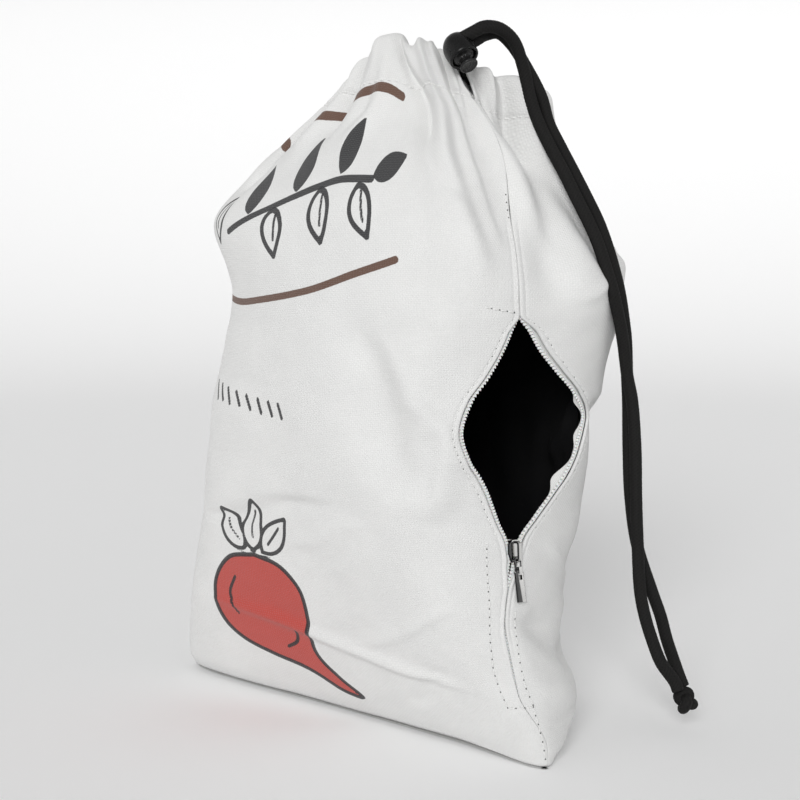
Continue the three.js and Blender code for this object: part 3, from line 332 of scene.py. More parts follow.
class ClothForm:
    """The bag's cloth as a surface over (around, rise), in millimetres."""

    STEP_AROUND = 0.002
    STEP_RISE = 0.004

    def __init__(self, sections: Sequence[Section], folds: Sequence[Fold],
                 creases: Sequence[Fold]) -> None:
        """Keep the tables.

        Args:
            sections: levels from the floor to the rim.
            folds: main folds.
            creases: finer ones.
        """
        self.levels = SmoothTable([s.rise for s in sections],
                                  [[n for xy in s.stations for n in xy] + [s.peak, s.side]
                                   for s in sections])
        self.folds = tuple(folds)
        self.creases = tuple(creases)

    def smooth(self, around: Array, rise: Array) -> Array:
        """Point of the form before any fold.

        Round a level it is a cubic from station to station, with half the step between the
        neighbours as slope. A sine and a cosine round the bag and bells at RIM_LIFTS raise it.

        Args:
            around: shares of the girth from the zipped seam.
            rise: shares of the rim height.

        Returns:
            Points in millimetres.
        """
        around, rise = np.broadcast_arrays(np.asarray(around, float), np.asarray(rise, float))
        values = self.levels.at(rise)
        turn = np.mod(around, 1.0)
        k = np.floor(turn * 8).astype(int)
        t = turn * 8 - k

        def station(step: int, axis: int) -> Array:
            """Value of the station a step further round."""
            index = ((k + step) % 8) * 2 + axis
            return np.take_along_axis(values, index[..., None], axis=-1)[..., 0]

        def along(axis: int) -> Array:
            """Coordinate on the cubic from this station to the next."""
            low, high = station(0, axis), station(1, axis)
            return hermite(low, high, (high - station(-1, axis)) / 2,
                           (station(2, axis) - low) / 2, t)

        angle = 2 * math.pi * turn
        lift = values[..., 16] * np.sin(angle) + values[..., 17] * np.cos(angle)
        near_rim = smooth_step(0.90, 1.0, rise) / RIM_HEIGHT
        for middle, width, height in RIM_LIFTS:
            lift = lift + height * near_rim * np.exp(-(((turn - middle) / width) ** 2))
        return np.stack([along(0) * HALF_WIDTH, along(1) * HALF_DEPTH,
                         (rise + lift) * RIM_HEIGHT], axis=-1)

    def outward(self, around: Array, rise: Array, form: Form) -> Array:
        """Unit normals out of the bag: the form's way up crossed with its way round.

        Args:
            around: shares of the girth.
            rise: shares of the rim height.
            form: the form, over both.

        Returns:
            The normals.
        """
        low = np.maximum(0.0, rise - self.STEP_RISE)
        high = np.minimum(1.0, rise + self.STEP_RISE)
        up = form(around, high) - form(around, low)
        along = form(around + self.STEP_AROUND, rise) - form(around - self.STEP_AROUND, rise)
        return unit(np.cross(up, along))

    @staticmethod
    def fold_at(fold: Fold, around: Array, rise: Array) -> Array:
        """Height of one fold: a bell across its line that fades at both ends.

        Args:
            fold: the fold.
            around: shares of the girth.
            rise: shares of the rim height.

        Returns:
            Share of the belly's depth.
        """
        t = (rise - fold.rise[0]) / (fold.rise[1] - fold.rise[0])
        middle = fold.around[0] + (fold.around[1] - fold.around[0]) * np.clip(t, 0, 1)
        distance = np.mod(around - middle + 0.5, 1.0) - 0.5
        width = np.where(distance < 0, fold.width / fold.sharp, fold.width)
        fade = smooth_step(-0.15, 0.2, t) * (1 - smooth_step(0.85, 1.2, t))
        return fold.depth * fade * np.exp(-((distance / width) ** 2))

    def relief(self, around: Array, rise: Array, share: float | Array = 1.0) -> Array:
        """Height over the smooth form: folds, creases, a cosine of pleats and slow waves.

        Args:
            around: shares of the girth.
            rise: shares of the rim height.
            share: how much of the folds and pleats is left.

        Returns:
            Millimetres.
        """
        main = sum(self.fold_at(fold, around, rise) for fold in self.folds)
        fine = sum(self.fold_at(fold, around, rise) for fold in self.creases)
        held = 1 - 0.35 * smooth_step(0.90, 0.97, rise)
        gather = smooth_step(PLEAT_START, 1.0, rise) * share
        swing = 0.5 * np.sin(6 * math.pi * around) + 0.3 * np.sin(14 * math.pi * around + 1.0)
        wave = np.cos(2 * math.pi * (PLEAT_COUNT * around + swing))
        wave = wave * (0.30 + 0.70 * smooth_step(0.45, 0.60, np.mod(around, 1.0)))
        height = (main * held + fine) * (0.35 + 0.65 * share) + PLEAT_DEPTH * gather * wave
        u, v = around * GIRTH, rise * RIM_HEIGHT
        uneven = 0.35 * drift(u, v, 42.0, 3) + 0.12 * drift(u, v, 17.0, 5)
        calm = 0.35 + 0.65 * smooth_step(0.0, 0.10, rise)
        return height * BELLY_DEPTH + uneven * calm

    def point(self, around: Array, rise: Array, share: float | Array = 1.0) -> Array:
        """Outer face: the smooth form, moved out along its normals by the relief.

        Args:
            around: shares of the girth.
            rise: shares of the rim height.
            share: how much of the folds and pleats is left.

        Returns:
            Points in millimetres.
        """
        around, rise = np.broadcast_arrays(np.asarray(around, float), np.asarray(rise, float))
        normal = self.outward(around, rise, self.smooth)
        return self.smooth(around, rise) + normal * self.relief(around, rise, share)[..., None]

    def inside(self, around: Array, rise: Array, depth: float | Array) -> Array:
        """Place behind the outer face, along its normal.

        Args:
            around: shares of the girth.
            rise: shares of the rim height.
            depth: how far inside, negative for outside.

        Returns:
            Points in millimetres.
        """
        around, rise = np.broadcast_arrays(np.asarray(around, float), np.asarray(rise, float))
        normal = self.outward(around, rise, self.point)
        return self.point(around, rise) - normal * np.asarray(depth)[..., None]


def openness(height: Array) -> Array:
    """0 where the zipper is closed and 1 where it gapes, eased at both ends."""
    opened = smooth_step(SLIDER_HEIGHT - 16, SLIDER_HEIGHT - 4, height)
    return opened * (1 - smooth_step(ZIP_TOP - 7, ZIP_TOP + 1, height))


def lens(side: int, height: Array) -> Array:
    """Share of the full gape of one side of the opening."""
    return GAPES[side].at(height)[..., 0]


def seam_half(height: Array) -> Array:
    """Half of the gap between the panels where they meet: bells where the seam is slack."""
    slack = sum(share * np.exp(-((height - middle) / reach) ** 2)
                for middle, reach, share in SLACK_SEAM)
    return 0.03 + 0.55 * slack


def seam_shift(height: Array) -> Array:
    """How far the closed seam swings to the front between the slider and the foot."""
    return 14.8 * smooth_step(8, 30, height) * (1 - smooth_step(52, 93, height))


def lip_distance(side: int, height: Array) -> Array:
    """Distance along the cloth from the zipped seam to the edge of a panel.

    It adds up the seam's gap, the lip beside the slider, the gape and the casing's end.

    Args:
        side: 1 for the front, -1 for the back.
        height: millimetres over the floor.

    Returns:
        Millimetres.
    """
    drawn = OPENING_FRONT if side > 0 else OPENING_BACK
    end = CASING_END_FRONT if side > 0 else CASING_END_BACK
    top = RIM_HEIGHT - CASING_DEPTH
    throat = smooth_step(top - 4, top + 5, height)
    seam = seam_half(height)
    lip = seam + (LIP_AT_SLIDER - seam) * openness(height) + drawn * lens(side, height)
    return lip + end * throat + side * seam_shift(height)


def coil_distance(side: int, height: Array) -> Array:
    """Distance along the cloth from the zipped seam to the middle of a coil."""
    drawn = (OPENING_FRONT if side > 0 else OPENING_BACK) * lens(side, height)
    return (COIL_CLOSED + (COIL_AT_SLIDER - COIL_CLOSED) * openness(height) + drawn
            + side * seam_shift(height))


FORM = ClothForm(SECTIONS, FOLDS, CREASES)
GAPES = {side: SmoothTable(GAPE_HEIGHTS, [[share] for share in shares])
         for side, shares in ((1, GAPE_FRONT), (-1, GAPE_BACK))}


def grid_faces(rows: int, columns: int, closed: bool = False) -> Array:
    """Quads of a grid of points.

    Args:
        rows: its rows.
        columns: points in a row.
        closed: whether the last column joins the first.

    Returns:
        Four vertices for each.
    """
    r, c = np.meshgrid(np.arange(rows - 1), np.arange(columns if closed else columns - 1),
                       indexing="ij")
    r, c = r.ravel(), c.ravel()
    nxt = (c + 1) % columns
    return np.stack([r * columns + c, r * columns + nxt, (r + 1) * columns + nxt,
                     (r + 1) * columns + c], axis=1)


def tube_faces(rows: int, sides: int) -> Array:
    """Quads of a tube of rings, with both ends filled by fans from their first points.

    Args:
        rows: its rings.
        sides: points in a ring, an even number.

    Returns:
        Four vertices for each.
    """
    k = np.arange(1, sides - 2, 2)
    fan = np.stack([np.zeros(len(k), int), k, k + 1, k + 2], axis=1)
    return np.vstack([grid_faces(rows, sides, closed=True), fan[:, ::-1],
                      fan + (rows - 1) * sides])


def mesh_object(name: str, points: Array, faces: Array, material: bpy.types.Material,
                scalars: dict[str, Array] | None = None,
                vectors: dict[str, Array] | None = None) -> bpy.types.Object:
    """Object made of points and faces of one size, smooth, at the origin.

    Args:
        name: name of the piece.
        points: vertices, in millimetres.
        faces: vertex indices, one row a face.
        material: its material.
        scalars: numbers kept at each vertex, by attribute name.
        vectors: pairs or triples kept at each vertex, by attribute name.

    Returns:
        The linked object.
    """
    points = np.asarray(points, float).reshape(-1, 3) * MM
    faces = np.asarray(faces, int)
    mesh = bpy.data.meshes.new(name)
    mesh.vertices.add(len(points))
    mesh.vertices.foreach_set("co", points.ravel())
    sides = faces.shape[1]
    mesh.loops.add(faces.size)
    mesh.loops.foreach_set("vertex_index", faces.ravel())
    mesh.polygons.add(len(faces))
    mesh.polygons.foreach_set("loop_start", np.arange(len(faces)) * sides)
    for key, values in (scalars or {}).items():
        layer = mesh.attributes.new(key, "FLOAT", "POINT")
        layer.data.foreach_set("value", np.asarray(values, float).ravel())
    for key, values in (vectors or {}).items():
        padded = np.zeros((len(points), 3))
        values = np.asarray(values, float).reshape(len(points), -1)
        padded[:, :values.shape[1]] = values
        layer = mesh.attributes.new(key, "FLOAT_VECTOR", "POINT")
        layer.data.foreach_set("vector", padded.ravel())
    mesh.update(calc_edges=True)
    mesh.validate()
    mesh.materials.append(material)
    mesh.shade_smooth()
    piece = bpy.data.objects.new(name, mesh)
    bpy.context.scene.collection.objects.link(piece)
    return piece


def apply_modifiers(piece: bpy.types.Object) -> None:
    """Turn the piece's modifiers into its mesh.

    Args:
        piece: the piece.
    """
    graph = bpy.context.evaluated_depsgraph_get()
    mesh = bpy.data.meshes.new_from_object(piece.evaluated_get(graph))
    piece.modifiers.clear()
    old = piece.data
    piece.data = mesh
    bpy.data.meshes.remove(old)


def merged(shapes: Sequence[Mesh]) -> Mesh:
    """Several shapes as one.

    Args:
        shapes: points and faces of each, with faces of one size.

    Returns:
        Points and faces of all.
    """
    points, faces, start = [], [], 0
    for shape_points, shape_faces in shapes:
        points.append(shape_points.reshape(-1, 3))
        faces.append(shape_faces + start)
        start += len(points[-1])
    return np.vstack(points), np.vstack(faces)


def capsules(starts: Array, ends: Array, radius: float, sides: int, flat: float,
             ups: Array) -> Mesh:
    """Short round-ended bars between pairs of points: five rings each, the end ones narrow.

    Args:
        starts: first end of each bar.
        ends: its other end.
        radius: radius of the bars.
        sides: sides of their section.
        flat: height of the section along ups, as a share of its width.
        ups: direction that is up for each bar.

    Returns:
        Points and faces of all.
    """
    axis = ends - starts
    length = np.linalg.norm(axis, axis=1, keepdims=True)
    axis = axis / np.maximum(length, 1e-9)
    across = unit(np.cross(axis, ups))
    up = np.cross(across, axis)
    places = np.array([0.0, 0.12, 0.5, 0.88, 1.0])
    girths = np.array([0.35, 0.85, 1.0, 0.85, 0.35])
    angle = np.arange(sides) * 2 * math.pi / sides
    ring = (np.cos(angle)[None, None, :, None] * across[:, None, None, :]
            + flat * np.sin(angle)[None, None, :, None] * up[:, None, None, :])
    centre = starts[:, None, :] + axis[:, None, :] * (length * places)[:, :, None]
    points = centre[:, :, None, :] + ring * (radius * girths)[None, :, None, None]
    one = tube_faces(len(places), sides)[:, ::-1]
    count = len(places) * sides
    faces = (one[None] + (np.arange(len(starts)) * count)[:, None, None]).reshape(-1, 4)
    return points.reshape(-1, 3), faces


def rounded_path(points: Sequence[Sequence[float]], spacing: float) -> Array:
    """Centripetal curve through points: its knots lie the roots of their distances apart.

    Args:
        points: places on it.
        spacing: about the length of its steps.

    Returns:
        Its points.
    """
    given = np.array(points, float)
    ends = np.vstack([2 * given[0] - given[1], given, 2 * given[-1] - given[-2]])
    pieces = []
    for i in range(1, len(ends) - 2):
        p0, p1, p2, p3 = ends[i - 1:i + 3]
        t1 = math.sqrt(np.linalg.norm(p1 - p0))
        t2 = t1 + math.sqrt(np.linalg.norm(p2 - p1))
        t3 = t2 + math.sqrt(np.linalg.norm(p3 - p2))
        t = np.linspace(t1, t2, 24, endpoint=False)[:, None]
        a1 = (t1 - t) / t1 * p0 + t / t1 * p1
        a2 = (t2 - t) / (t2 - t1) * p1 + (t - t1) / (t2 - t1) * p2
        a3 = (t3 - t) / (t3 - t2) * p2 + (t - t2) / (t3 - t2) * p3
        b1 = (t2 - t) / t2 * a1 + t / t2 * a2
        b2 = (t3 - t) / (t3 - t1) * a2 + (t - t1) / (t3 - t1) * a3
        pieces.append((t2 - t) / (t2 - t1) * b1 + (t - t1) / (t2 - t1) * b2)
    return resampled(np.vstack(pieces + [given[-1:]]), spacing)


def resampled(line: Array, spacing: float) -> Array:
    """A line again, in even steps.

    Args:
        line: its points.
        spacing: about the length of a step.

    Returns:
        The new points.
    """
    run = np.concatenate([[0], np.cumsum(np.linalg.norm(np.diff(line, axis=0), axis=1))])
    steps = max(2, int(round(run[-1] / spacing)) + 1)
    even = np.linspace(0, run[-1], steps)
    return np.stack([np.interp(even, run, line[:, a]) for a in range(3)], axis=1)


def line_length(line: Array) -> float:
    """Length of a line of points."""
    return float(np.linalg.norm(np.diff(line, axis=0), axis=1).sum())


def frames_along(line: Array) -> tuple[Array, Array, Array]:
    """Tangents and cross directions that don't spin: each is the last one, set square again.

    Args:
        line: points of the line.

    Returns:
        Tangents, sides and their cross products.
    """
    tangent = unit(np.gradient(line, axis=0))
    side = np.zeros_like(line)
    start = np.cross(tangent[0], [0.0, 0.0, 1.0])
    if np.linalg.norm(start) < 0.1:
        start = np.cross(tangent[0], [1.0, 0.0, 0.0])
    side[0] = start / np.linalg.norm(start)
    for i in range(1, len(line)):
        moved = side[i - 1] - tangent[i] * side[i - 1].dot(tangent[i])
        side[i] = moved / np.linalg.norm(moved)
    return tangent, side, np.cross(tangent, side)


def lathe(profile: Array, sides: int) -> Mesh:
    """Surface of revolution about Y.

    Args:
        profile: its radius and y, from end to end.
        sides: points in a ring.

    Returns:
        Grid of points, and faces.
    """
    angle = np.arange(sides) * 2 * math.pi / sides
    points = np.stack([profile[:, 0:1] * np.cos(angle), np.repeat(profile[:, 1:2], sides, 1),
                       profile[:, 0:1] * np.sin(angle)], axis=-1)
    return points, tube_faces(len(profile), sides)


def soft_profile(profile: Sequence[tuple[float, float]], spacing: float) -> Array:
    """Points of a profile again, rounded through its corners."""
    flat = [(r, y, 0.0) for r, y in profile]
    return rounded_path(flat, spacing)[:, :2]


class Finish(Enum):
    """Names of the bag's finishes; nothing in the script uses them."""

    COTTON = "cotton"
    LINING = "black_lining"
    TAPE = "zip_tape"
    COIL = "zip_coil"
    NICKEL = "nickel"
    PLASTIC = "lock_plastic"
    CORD = "black_cord"


class Nodes:
    """A material's node tree, with short ways to add and join nodes."""

    def __init__(self, name: str) -> None:
        """Make the material.

        Args:
            name: its name.
        """
        self.material = bpy.data.materials.new(name)
        self.material.use_nodes = True
        self.tree = self.material.node_tree
        self.shader = self.tree.nodes["Principled BSDF"]

    def add(self, kind: str, **settings: object) -> bpy.types.Node:
        """Add a node.

        Args:
            kind: its type.
            **settings: its settings, or its inputs' values by name, with _ for a space.

        Returns:
            The node.
        """
        node = self.tree.nodes.new(kind)
        for key, value in settings.items():
            if hasattr(node, key):
                setattr(node, key, value)
            else:
                node.inputs[key.replace("_", " ")].default_value = value
        return node

    def join(self, source: Socket, target: Socket) -> None:
        """Link two sockets."""
        self.tree.links.new(source, target)

    def attribute(self, name: str, output: str = "Fac") -> Socket:
        """A value kept on the mesh."""
        return self.add("ShaderNodeAttribute", attribute_name=name).outputs[output]

    def object_place(self) -> Socket:
        """Place in the object's own space, in metres."""
        return self.add("ShaderNodeTexCoord").outputs["Object"]

    def math(self, operation: str, *values: Socket | float) -> Socket:
        """One sum.

        Args:
            operation: its name.
            *values: what goes into it.

        Returns:
            Its result.
        """
        node = self.add("ShaderNodeMath", operation=operation)
        for i, value in enumerate(values):
            if isinstance(value, (int, float)):
                node.inputs[i].default_value = value
            else:
                self.join(value, node.inputs[i])
        return node.outputs[0]

    def ramp(self, value: Socket, low: float, high: float, out_low: float = 0.0,
             out_high: float = 1.0) -> Socket:
        """Value moved in proportion from one range to another and held there.

        Args:
            value: what is moved.
            low: start of its range.
            high: end of its range.
            out_low: result at low.
            out_high: result at high.

        Returns:
            The result.
        """
        node = self.add("ShaderNodeMapRange")
        for index, number in zip((1, 2, 3, 4), (low, high, out_low, out_high)):
            node.inputs[index].default_value = number
        self.join(value, node.inputs[0])
        return node.outputs[0]

    def mix(self, share: Socket | float, first: Socket | Colour,
            second: Socket | Colour) -> Socket:
        """Mix of two colours.

        Args:
            share: 0 for the first colour, 1 for the second.
            first: first colour.
            second: second colour.

        Returns:
            The mixed colour.
        """
        node = self.add("ShaderNodeMix", data_type="RGBA")
        for index, value in ((0, share), (6, first), (7, second)):
            if isinstance(value, Socket):
                self.join(value, node.inputs[index])
            elif isinstance(value, tuple):
                node.inputs[index].default_value = (*value, 1.0)
            else:
                node.inputs[index].default_value = value
        return node.outputs[2]

    def noise(self, scale: float, detail: float = 2.0, place: Socket | None = None) -> Socket:
        """Noise of about 0 to 1.

        Args:
            scale: how often it changes in one unit of the place.
            detail: how many finer layers it has.
            place: where it is read, or None for the object's own space.

        Returns:
            The noise.
        """
        node = self.add("ShaderNodeTexNoise", Scale=scale, Detail=detail)
        self.join(place or self.object_place(), node.inputs["Vector"])
        return node.outputs["Fac"]

    def bump(self, height: Socket, distance: float, strength: float = 1.0,
             before: bpy.types.Node | None = None) -> bpy.types.Node:
        """Bump from a height.

        Args:
            height: 0 to 1 over the surface.
            distance: what 1 stands for, in metres.
            strength: how much of it is used.
            before: an earlier bump that it lies over.

        Returns:
            The bump's node.
        """
        node = self.add("ShaderNodeBump", Strength=strength, Distance=distance)
        self.join(height, node.inputs["Height"])
        if before is not None:
            self.join(before.outputs[0], node.inputs["Normal"])
        return node

    def finish(self, normal: bpy.types.Node | None = None, colour: Socket | None = None,
               roughness: Socket | None = None) -> bpy.types.Material:
        """Join what varies to the shader.

        Args:
            normal: the last bump.
            colour: base colour.
            roughness: roughness.

        Returns:
            The material.
        """
        if normal is not None:
            self.join(normal.outputs[0], self.shader.inputs["Normal"])
        if colour is not None:
            self.join(colour, self.shader.inputs["Base Color"])
        if roughness is not None:
            self.join(roughness, self.shader.inputs["Roughness"])
        return self.material

    def constants(self, **values: float | Colour) -> None:
        """Set numbers and colours on the shader's own sockets.

        Args:
            **values: what to set by the socket's name, with _ for a space.
        """
        for key, value in values.items():
            socket = self.shader.inputs[key.replace("_", " ")]
            socket.default_value = (*value, 1.0) if isinstance(value, tuple) else value


@dataclass(frozen=True)
class Weave:
    """Plain weave.

    Args:
        pitch: distance from thread to thread, in millimetres.
        relief: height of its threads, in metres.
        over: how much the threads cross over and under each other.
    """

    pitch: float
    relief: float
    over: float = 0.35

    def height(self, nodes: Nodes, place: Socket) -> Socket:
        """Height of crossing threads.

        It is the mean of a sine's size across the threads and of one along them, and their
        product for the crossings; a slow noise shifts both.

        Args:
            nodes: the material's nodes.
            place: the cloth's own coordinates.

        Returns:
            The height.
        """
        split = nodes.add("ShaderNodeSeparateXYZ")
        nodes.join(place, split.inputs[0])
        turn = 2 * math.pi / self.pitch
        shift = nodes.math("MULTIPLY", nodes.noise(0.35, 2.0, place), 5.0)
        sines = []
        for axis in (0, 1):
            angle = nodes.math("ADD", nodes.math("MULTIPLY", split.outputs[axis], turn), shift)
            sines.append(nodes.math("SINE", nodes.math("MULTIPLY", angle, 0.5)))
        warp, weft = (nodes.math("MULTIPLY", nodes.math("ABSOLUTE", sine), 0.5) for sine in sines)
        crossing = nodes.math("MULTIPLY", nodes.math("MULTIPLY", *sines), self.over)
        return nodes.math("ADD", nodes.math("ADD", warp, weft), crossing)


@dataclass(frozen=True)
class Ink:
    """One ink of the print, and the mesh attribute that says where it lies.

    Args:
        name: the attribute, a distance in millimetres or in halves of a line.
        colour: its colour.
        edge: where the ink ends in that distance.
    """

    name: str
    colour: Colour
    edge: float = 0.0


INK_BLACK = (0.020, 0.020, 0.022)
INKS = (
    Ink("brown_stroke", (0.115, 0.055, 0.034)),
    Ink("red_fill", (0.47, 0.046, 0.032)),
    Ink("black_fill", INK_BLACK),
    Ink("black_stroke", INK_BLACK),
    Ink("black_outline", INK_BLACK, 1.0),
)


@dataclass(frozen=True)
class CottonCanvas:
    """White canvas, with the print where the mesh carries it.

    Args:
        printed: whether it carries the print.
        weave: its weave.
        white: colour of its threads.
        shade: colour between them.
        slub: height of its thicker threads, in metres.
        ragged: how far an ink's edge wanders with the threads.
        blur: half width of an ink's edge.
        cover: how much of the cloth a full ink hides.
    """

    printed: bool
    weave: Weave = Weave(0.85, 0.00013)
    white: Colour = (0.80, 0.80, 0.79)
    shade: Colour = (0.66, 0.66, 0.655)
    slub: float = 0.00022
    ragged: float = 0.25
    blur: float = 0.12
    cover: float = 0.97

    def inked(self, nodes: Nodes, cloth: Socket, height: Socket, slub: Socket) -> Socket:
        """Lay the inks over the cloth's colour, thinner where the threads lie low.

        Args:
            nodes: the material's nodes.
            cloth: the cloth's colour.
            height: height of the weave.
            slub: noise of the thicker threads.

        Returns:
            The printed colour.
        """
        uneven = nodes.math("MULTIPLY", nodes.math("SUBTRACT", slub, 0.5), self.ragged)
        for ink in INKS:
            distance = nodes.attribute(ink.name)
            if ink.edge > 0:
                distance = nodes.math("ABSOLUTE", distance)
            share = nodes.ramp(nodes.math("ADD", distance, uneven), ink.edge - self.blur,
                               ink.edge + self.blur, self.cover, 0.0)
            worn = nodes.math("MULTIPLY", share, nodes.ramp(height, 0.0, 0.5, 0.82, 1.0))
            cloth = nodes.mix(worn, cloth, ink.colour)
        return cloth

    def make(self) -> bpy.types.Material:
        """Make the canvas.

        Returns:
            The material.
        """
        nodes = Nodes("cotton_canvas_printed" if self.printed else "cotton_canvas")
        place = nodes.attribute("cloth_mm", "Vector")
        height = self.weave.height(nodes, place)
        slub = nodes.noise(0.9, 3.0, place)
        tone = nodes.ramp(nodes.noise(0.045, 2.0, place), 0.3, 0.7, 0.0, 0.25)
        thread = nodes.ramp(height, 0.1, 1.2, 0.55, 0.0)
        colour = nodes.mix(nodes.math("ADD", tone, thread), self.white, self.shade)
        if self.printed:
            colour = self.inked(nodes, colour, height, slub)
        bump = nodes.bump(height, self.weave.relief, 1.0)
        bump = nodes.bump(slub, self.slub, 0.7, bump)
        nodes.constants(Roughness=0.88, Specular_IOR_Level=0.2, Sheen_Weight=0.15,
                        Sheen_Roughness=0.6)
        return nodes.finish(bump, colour)


@dataclass(frozen=True)
class LiningCloth:
    """Black lining cloth.

    Args:
        weave: its weave.
        dark: its darkest colour.
        light: its lightest colour.
    """

    weave: Weave = Weave(0.6, 0.00003)
    dark: Colour = (0.004, 0.004, 0.0045)
    light: Colour = (0.009, 0.009, 0.0095)

    def make(self) -> bpy.types.Material:
        """Make the lining cloth.

        Returns:
            The material.
        """
        nodes = Nodes("lining_black")
        place = nodes.attribute("cloth_mm", "Vector")
        height = self.weave.height(nodes, place)
        colour = nodes.mix(nodes.noise(0.05, 2.0, place), self.dark, self.light)
        nodes.constants(Roughness=0.95, Specular_IOR_Level=0.15)
        return nodes.finish(nodes.bump(height, self.weave.relief, 0.5), colour)


@dataclass(frozen=True)
class TapeCloth:
    """White woven tape of the zipper.

    Args:
        weave: its weave.
        dark: colour between its threads.
        light: colour of its threads.
    """

    weave: Weave = Weave(0.5, 0.00005, 0.8)
    dark: Colour = (0.68, 0.68, 0.67)
    light: Colour = (0.86, 0.86, 0.85)

    def make(self) -> bpy.types.Material:
        """Make the tape's cloth.

        Returns:
            The material.
        """
        nodes = Nodes("zip_tape_white")
        height = self.weave.height(nodes, nodes.attribute("cloth_mm", "Vector"))
        colour = nodes.mix(nodes.ramp(height, 0.1, 1.2), self.dark, self.light)
        nodes.constants(Roughness=0.75, Specular_IOR_Level=0.3)
        return nodes.finish(nodes.bump(height, self.weave.relief, 0.9), colour)


@dataclass(frozen=True)
class GrainedFinish:
    """A plain finish whose colour wanders with a fine noise.

    Args:
        name: the material's name.
        dark: colour where the noise is low.
        light: colour where it is high.
        grain: scale of the noise, in each metre.
        bumps: scale of the noise in its bump, 0 for none.
        relief: height of the bump, in metres.
        strength: how much of it is used.
    """

    name: str
    dark: Colour
    light: Colour
    grain: float
    bumps: float = 0.0
    relief: float = 0.0
    strength: float = 0.0

    def make(self, **constants: float) -> bpy.types.Material:
        """Make the finish.

        Args:
            **constants: values of the shader's own sockets.

        Returns:
            The material.
        """
        nodes = Nodes(self.name)
        colour = nodes.mix(nodes.noise(self.grain), self.dark, self.light)
        nodes.constants(**constants)
        if self.bumps == 0:
            return nodes.finish(None, colour)
        return nodes.finish(nodes.bump(nodes.noise(self.bumps), self.relief, self.strength),
                            colour)


COIL_NYLON = GrainedFinish("zip_coil_white", (0.80, 0.80, 0.79), (0.92, 0.92, 0.91), 900.0,
                           2500.0, 0.00001, 0.4)
SEWING_THREAD = GrainedFinish("sewing_thread", (0.66, 0.66, 0.65), (0.85, 0.85, 0.84), 1800.0,
                              3500.0, 0.00002, 0.6)
NEEDLE_HOLES = GrainedFinish("needle_holes", (0.05, 0.05, 0.05), (0.22, 0.22, 0.215), 700.0)


@dataclass(frozen=True)
class NickelPlate:
    """Bright nickel plating with fine scratches, and a painted dark reflection on its shaded side.

    Args:
        bright: its colour.
        dark: colour of the painted dark reflection on the shaded side.
        shaded_way: the direction that the side with the painted dark reflection faces.
        painted_dark_until: place across the pull, in metres, up to which it is dark.
        painted_dark_ends: place from which it is bright.
    """

    bright: Colour = (0.80, 0.795, 0.78)
    dark: Colour = (0.045, 0.045, 0.047)
    shaded_way: Place = (-0.12, -0.98, -0.15)
    painted_dark_until: float = 0.0015
    painted_dark_ends: float = 0.0018

    def make(self) -> bpy.types.Material:
        """Make the plating, with a painted dark reflection as far as its normal points the shaded
        way.

        Returns:
            The material.
        """
        nodes = Nodes("nickel_plate")
        scratches = nodes.noise(1500.0, 4.0)
        # Painted dark reflection on faces that point the shaded way
        facing = nodes.add("ShaderNodeVectorMath", operation="DOT_PRODUCT")
        nodes.join(nodes.add("ShaderNodeNewGeometry").outputs["Normal"], facing.inputs[0])
        facing.inputs[1].default_value = self.shaded_way
        # Painted dark reflection where the object's Y is low, over one half of the pull
        split = nodes.add("ShaderNodeSeparateXYZ")
        nodes.join(nodes.object_place(), split.inputs[0])
        painted_dark_half = nodes.ramp(split.outputs["Y"], self.painted_dark_until, self.painted_dark_ends, 0.88, 0.0)
        tone = nodes.math("MAXIMUM", nodes.ramp(facing.outputs["Value"], -0.05, 0.30), painted_dark_half)
        nodes.constants(Metallic=1.0)
        return nodes.finish(nodes.bump(scratches, 0.000006, 0.35),
                            nodes.mix(tone, self.bright, self.dark),
                            nodes.ramp(scratches, 0.3, 0.7, 0.10, 0.24))


@dataclass(frozen=True)
class MouldedPlastic:
    """Glossy black moulded plastic.

    Args:
        name: the material's name.
        dark: its darkest grey.
    """

    name: str
    dark: float

    def make(self) -> bpy.types.Material:
        """Make the plastic.

        Returns:
            The material.
        """
        nodes = Nodes(self.name)
        grain = nodes.noise(650.0, 3.0)
        dark = self.dark
        colour = nodes.mix(grain, (dark, dark, dark), (2 * dark, 2 * dark, 2.05 * dark))
        nodes.constants(Specular_IOR_Level=0.30)
        return nodes.finish(nodes.bump(grain, 0.00002, 0.25), colour,
                            nodes.ramp(grain, 0.3, 0.7, 0.20, 0.34))


@dataclass(frozen=True)
class BraidFibre:
    """Black fibre of the braided cord, whose strands are in its mesh, with painted shade and
    highlights on them.

    Args:
        dark: painted shade between the strands.
        light: painted highlight on top of them.
    """

    dark: Colour = (0.0022, 0.0022, 0.0022)
    light: Colour = (0.0125, 0.0120, 0.0115)

    def make(self) -> bpy.types.Material:
        """Make the fibre.

        Returns:
            The material.
        """
        nodes = Nodes("cord_black_braid")
        # Colour by the braid's height: painted highlight on the strands' tops, painted shade
        # between them
        colour = nodes.mix(nodes.ramp(nodes.attribute("braid"), 0.0, 1.0), self.dark, self.light)
        nodes.constants(Roughness=0.80, Specular_IOR_Level=0.20)
        return nodes.finish(nodes.bump(nodes.noise(2600.0, 3.0), 0.00004, 0.6), colour)


class Materials:
    """Every material of the bag, made once."""

    def __init__(self) -> None:
        """Make the materials."""
        self.printed = CottonCanvas(True).make()
        self.cotton = CottonCanvas(False).make()
        self.lining = LiningCloth().make()
        self.tape = TapeCloth().make()
        self.coil = COIL_NYLON.make(Roughness=0.38, Specular_IOR_Level=0.5,
                                    Subsurface_Weight=0.08, Subsurface_Scale=0.0006)
        self.thread = SEWING_THREAD.make(Roughness=0.65)
        self.holes = NEEDLE_HOLES.make(Roughness=1.0, Specular_IOR_Level=0.0)
        self.nickel = NickelPlate().make()
        self.plastic = MouldedPlastic("lock_black_plastic", 0.0022).make()
        self.button = MouldedPlastic("button_dark_plastic", 0.009).make()
        self.cord = BraidFibre().make()


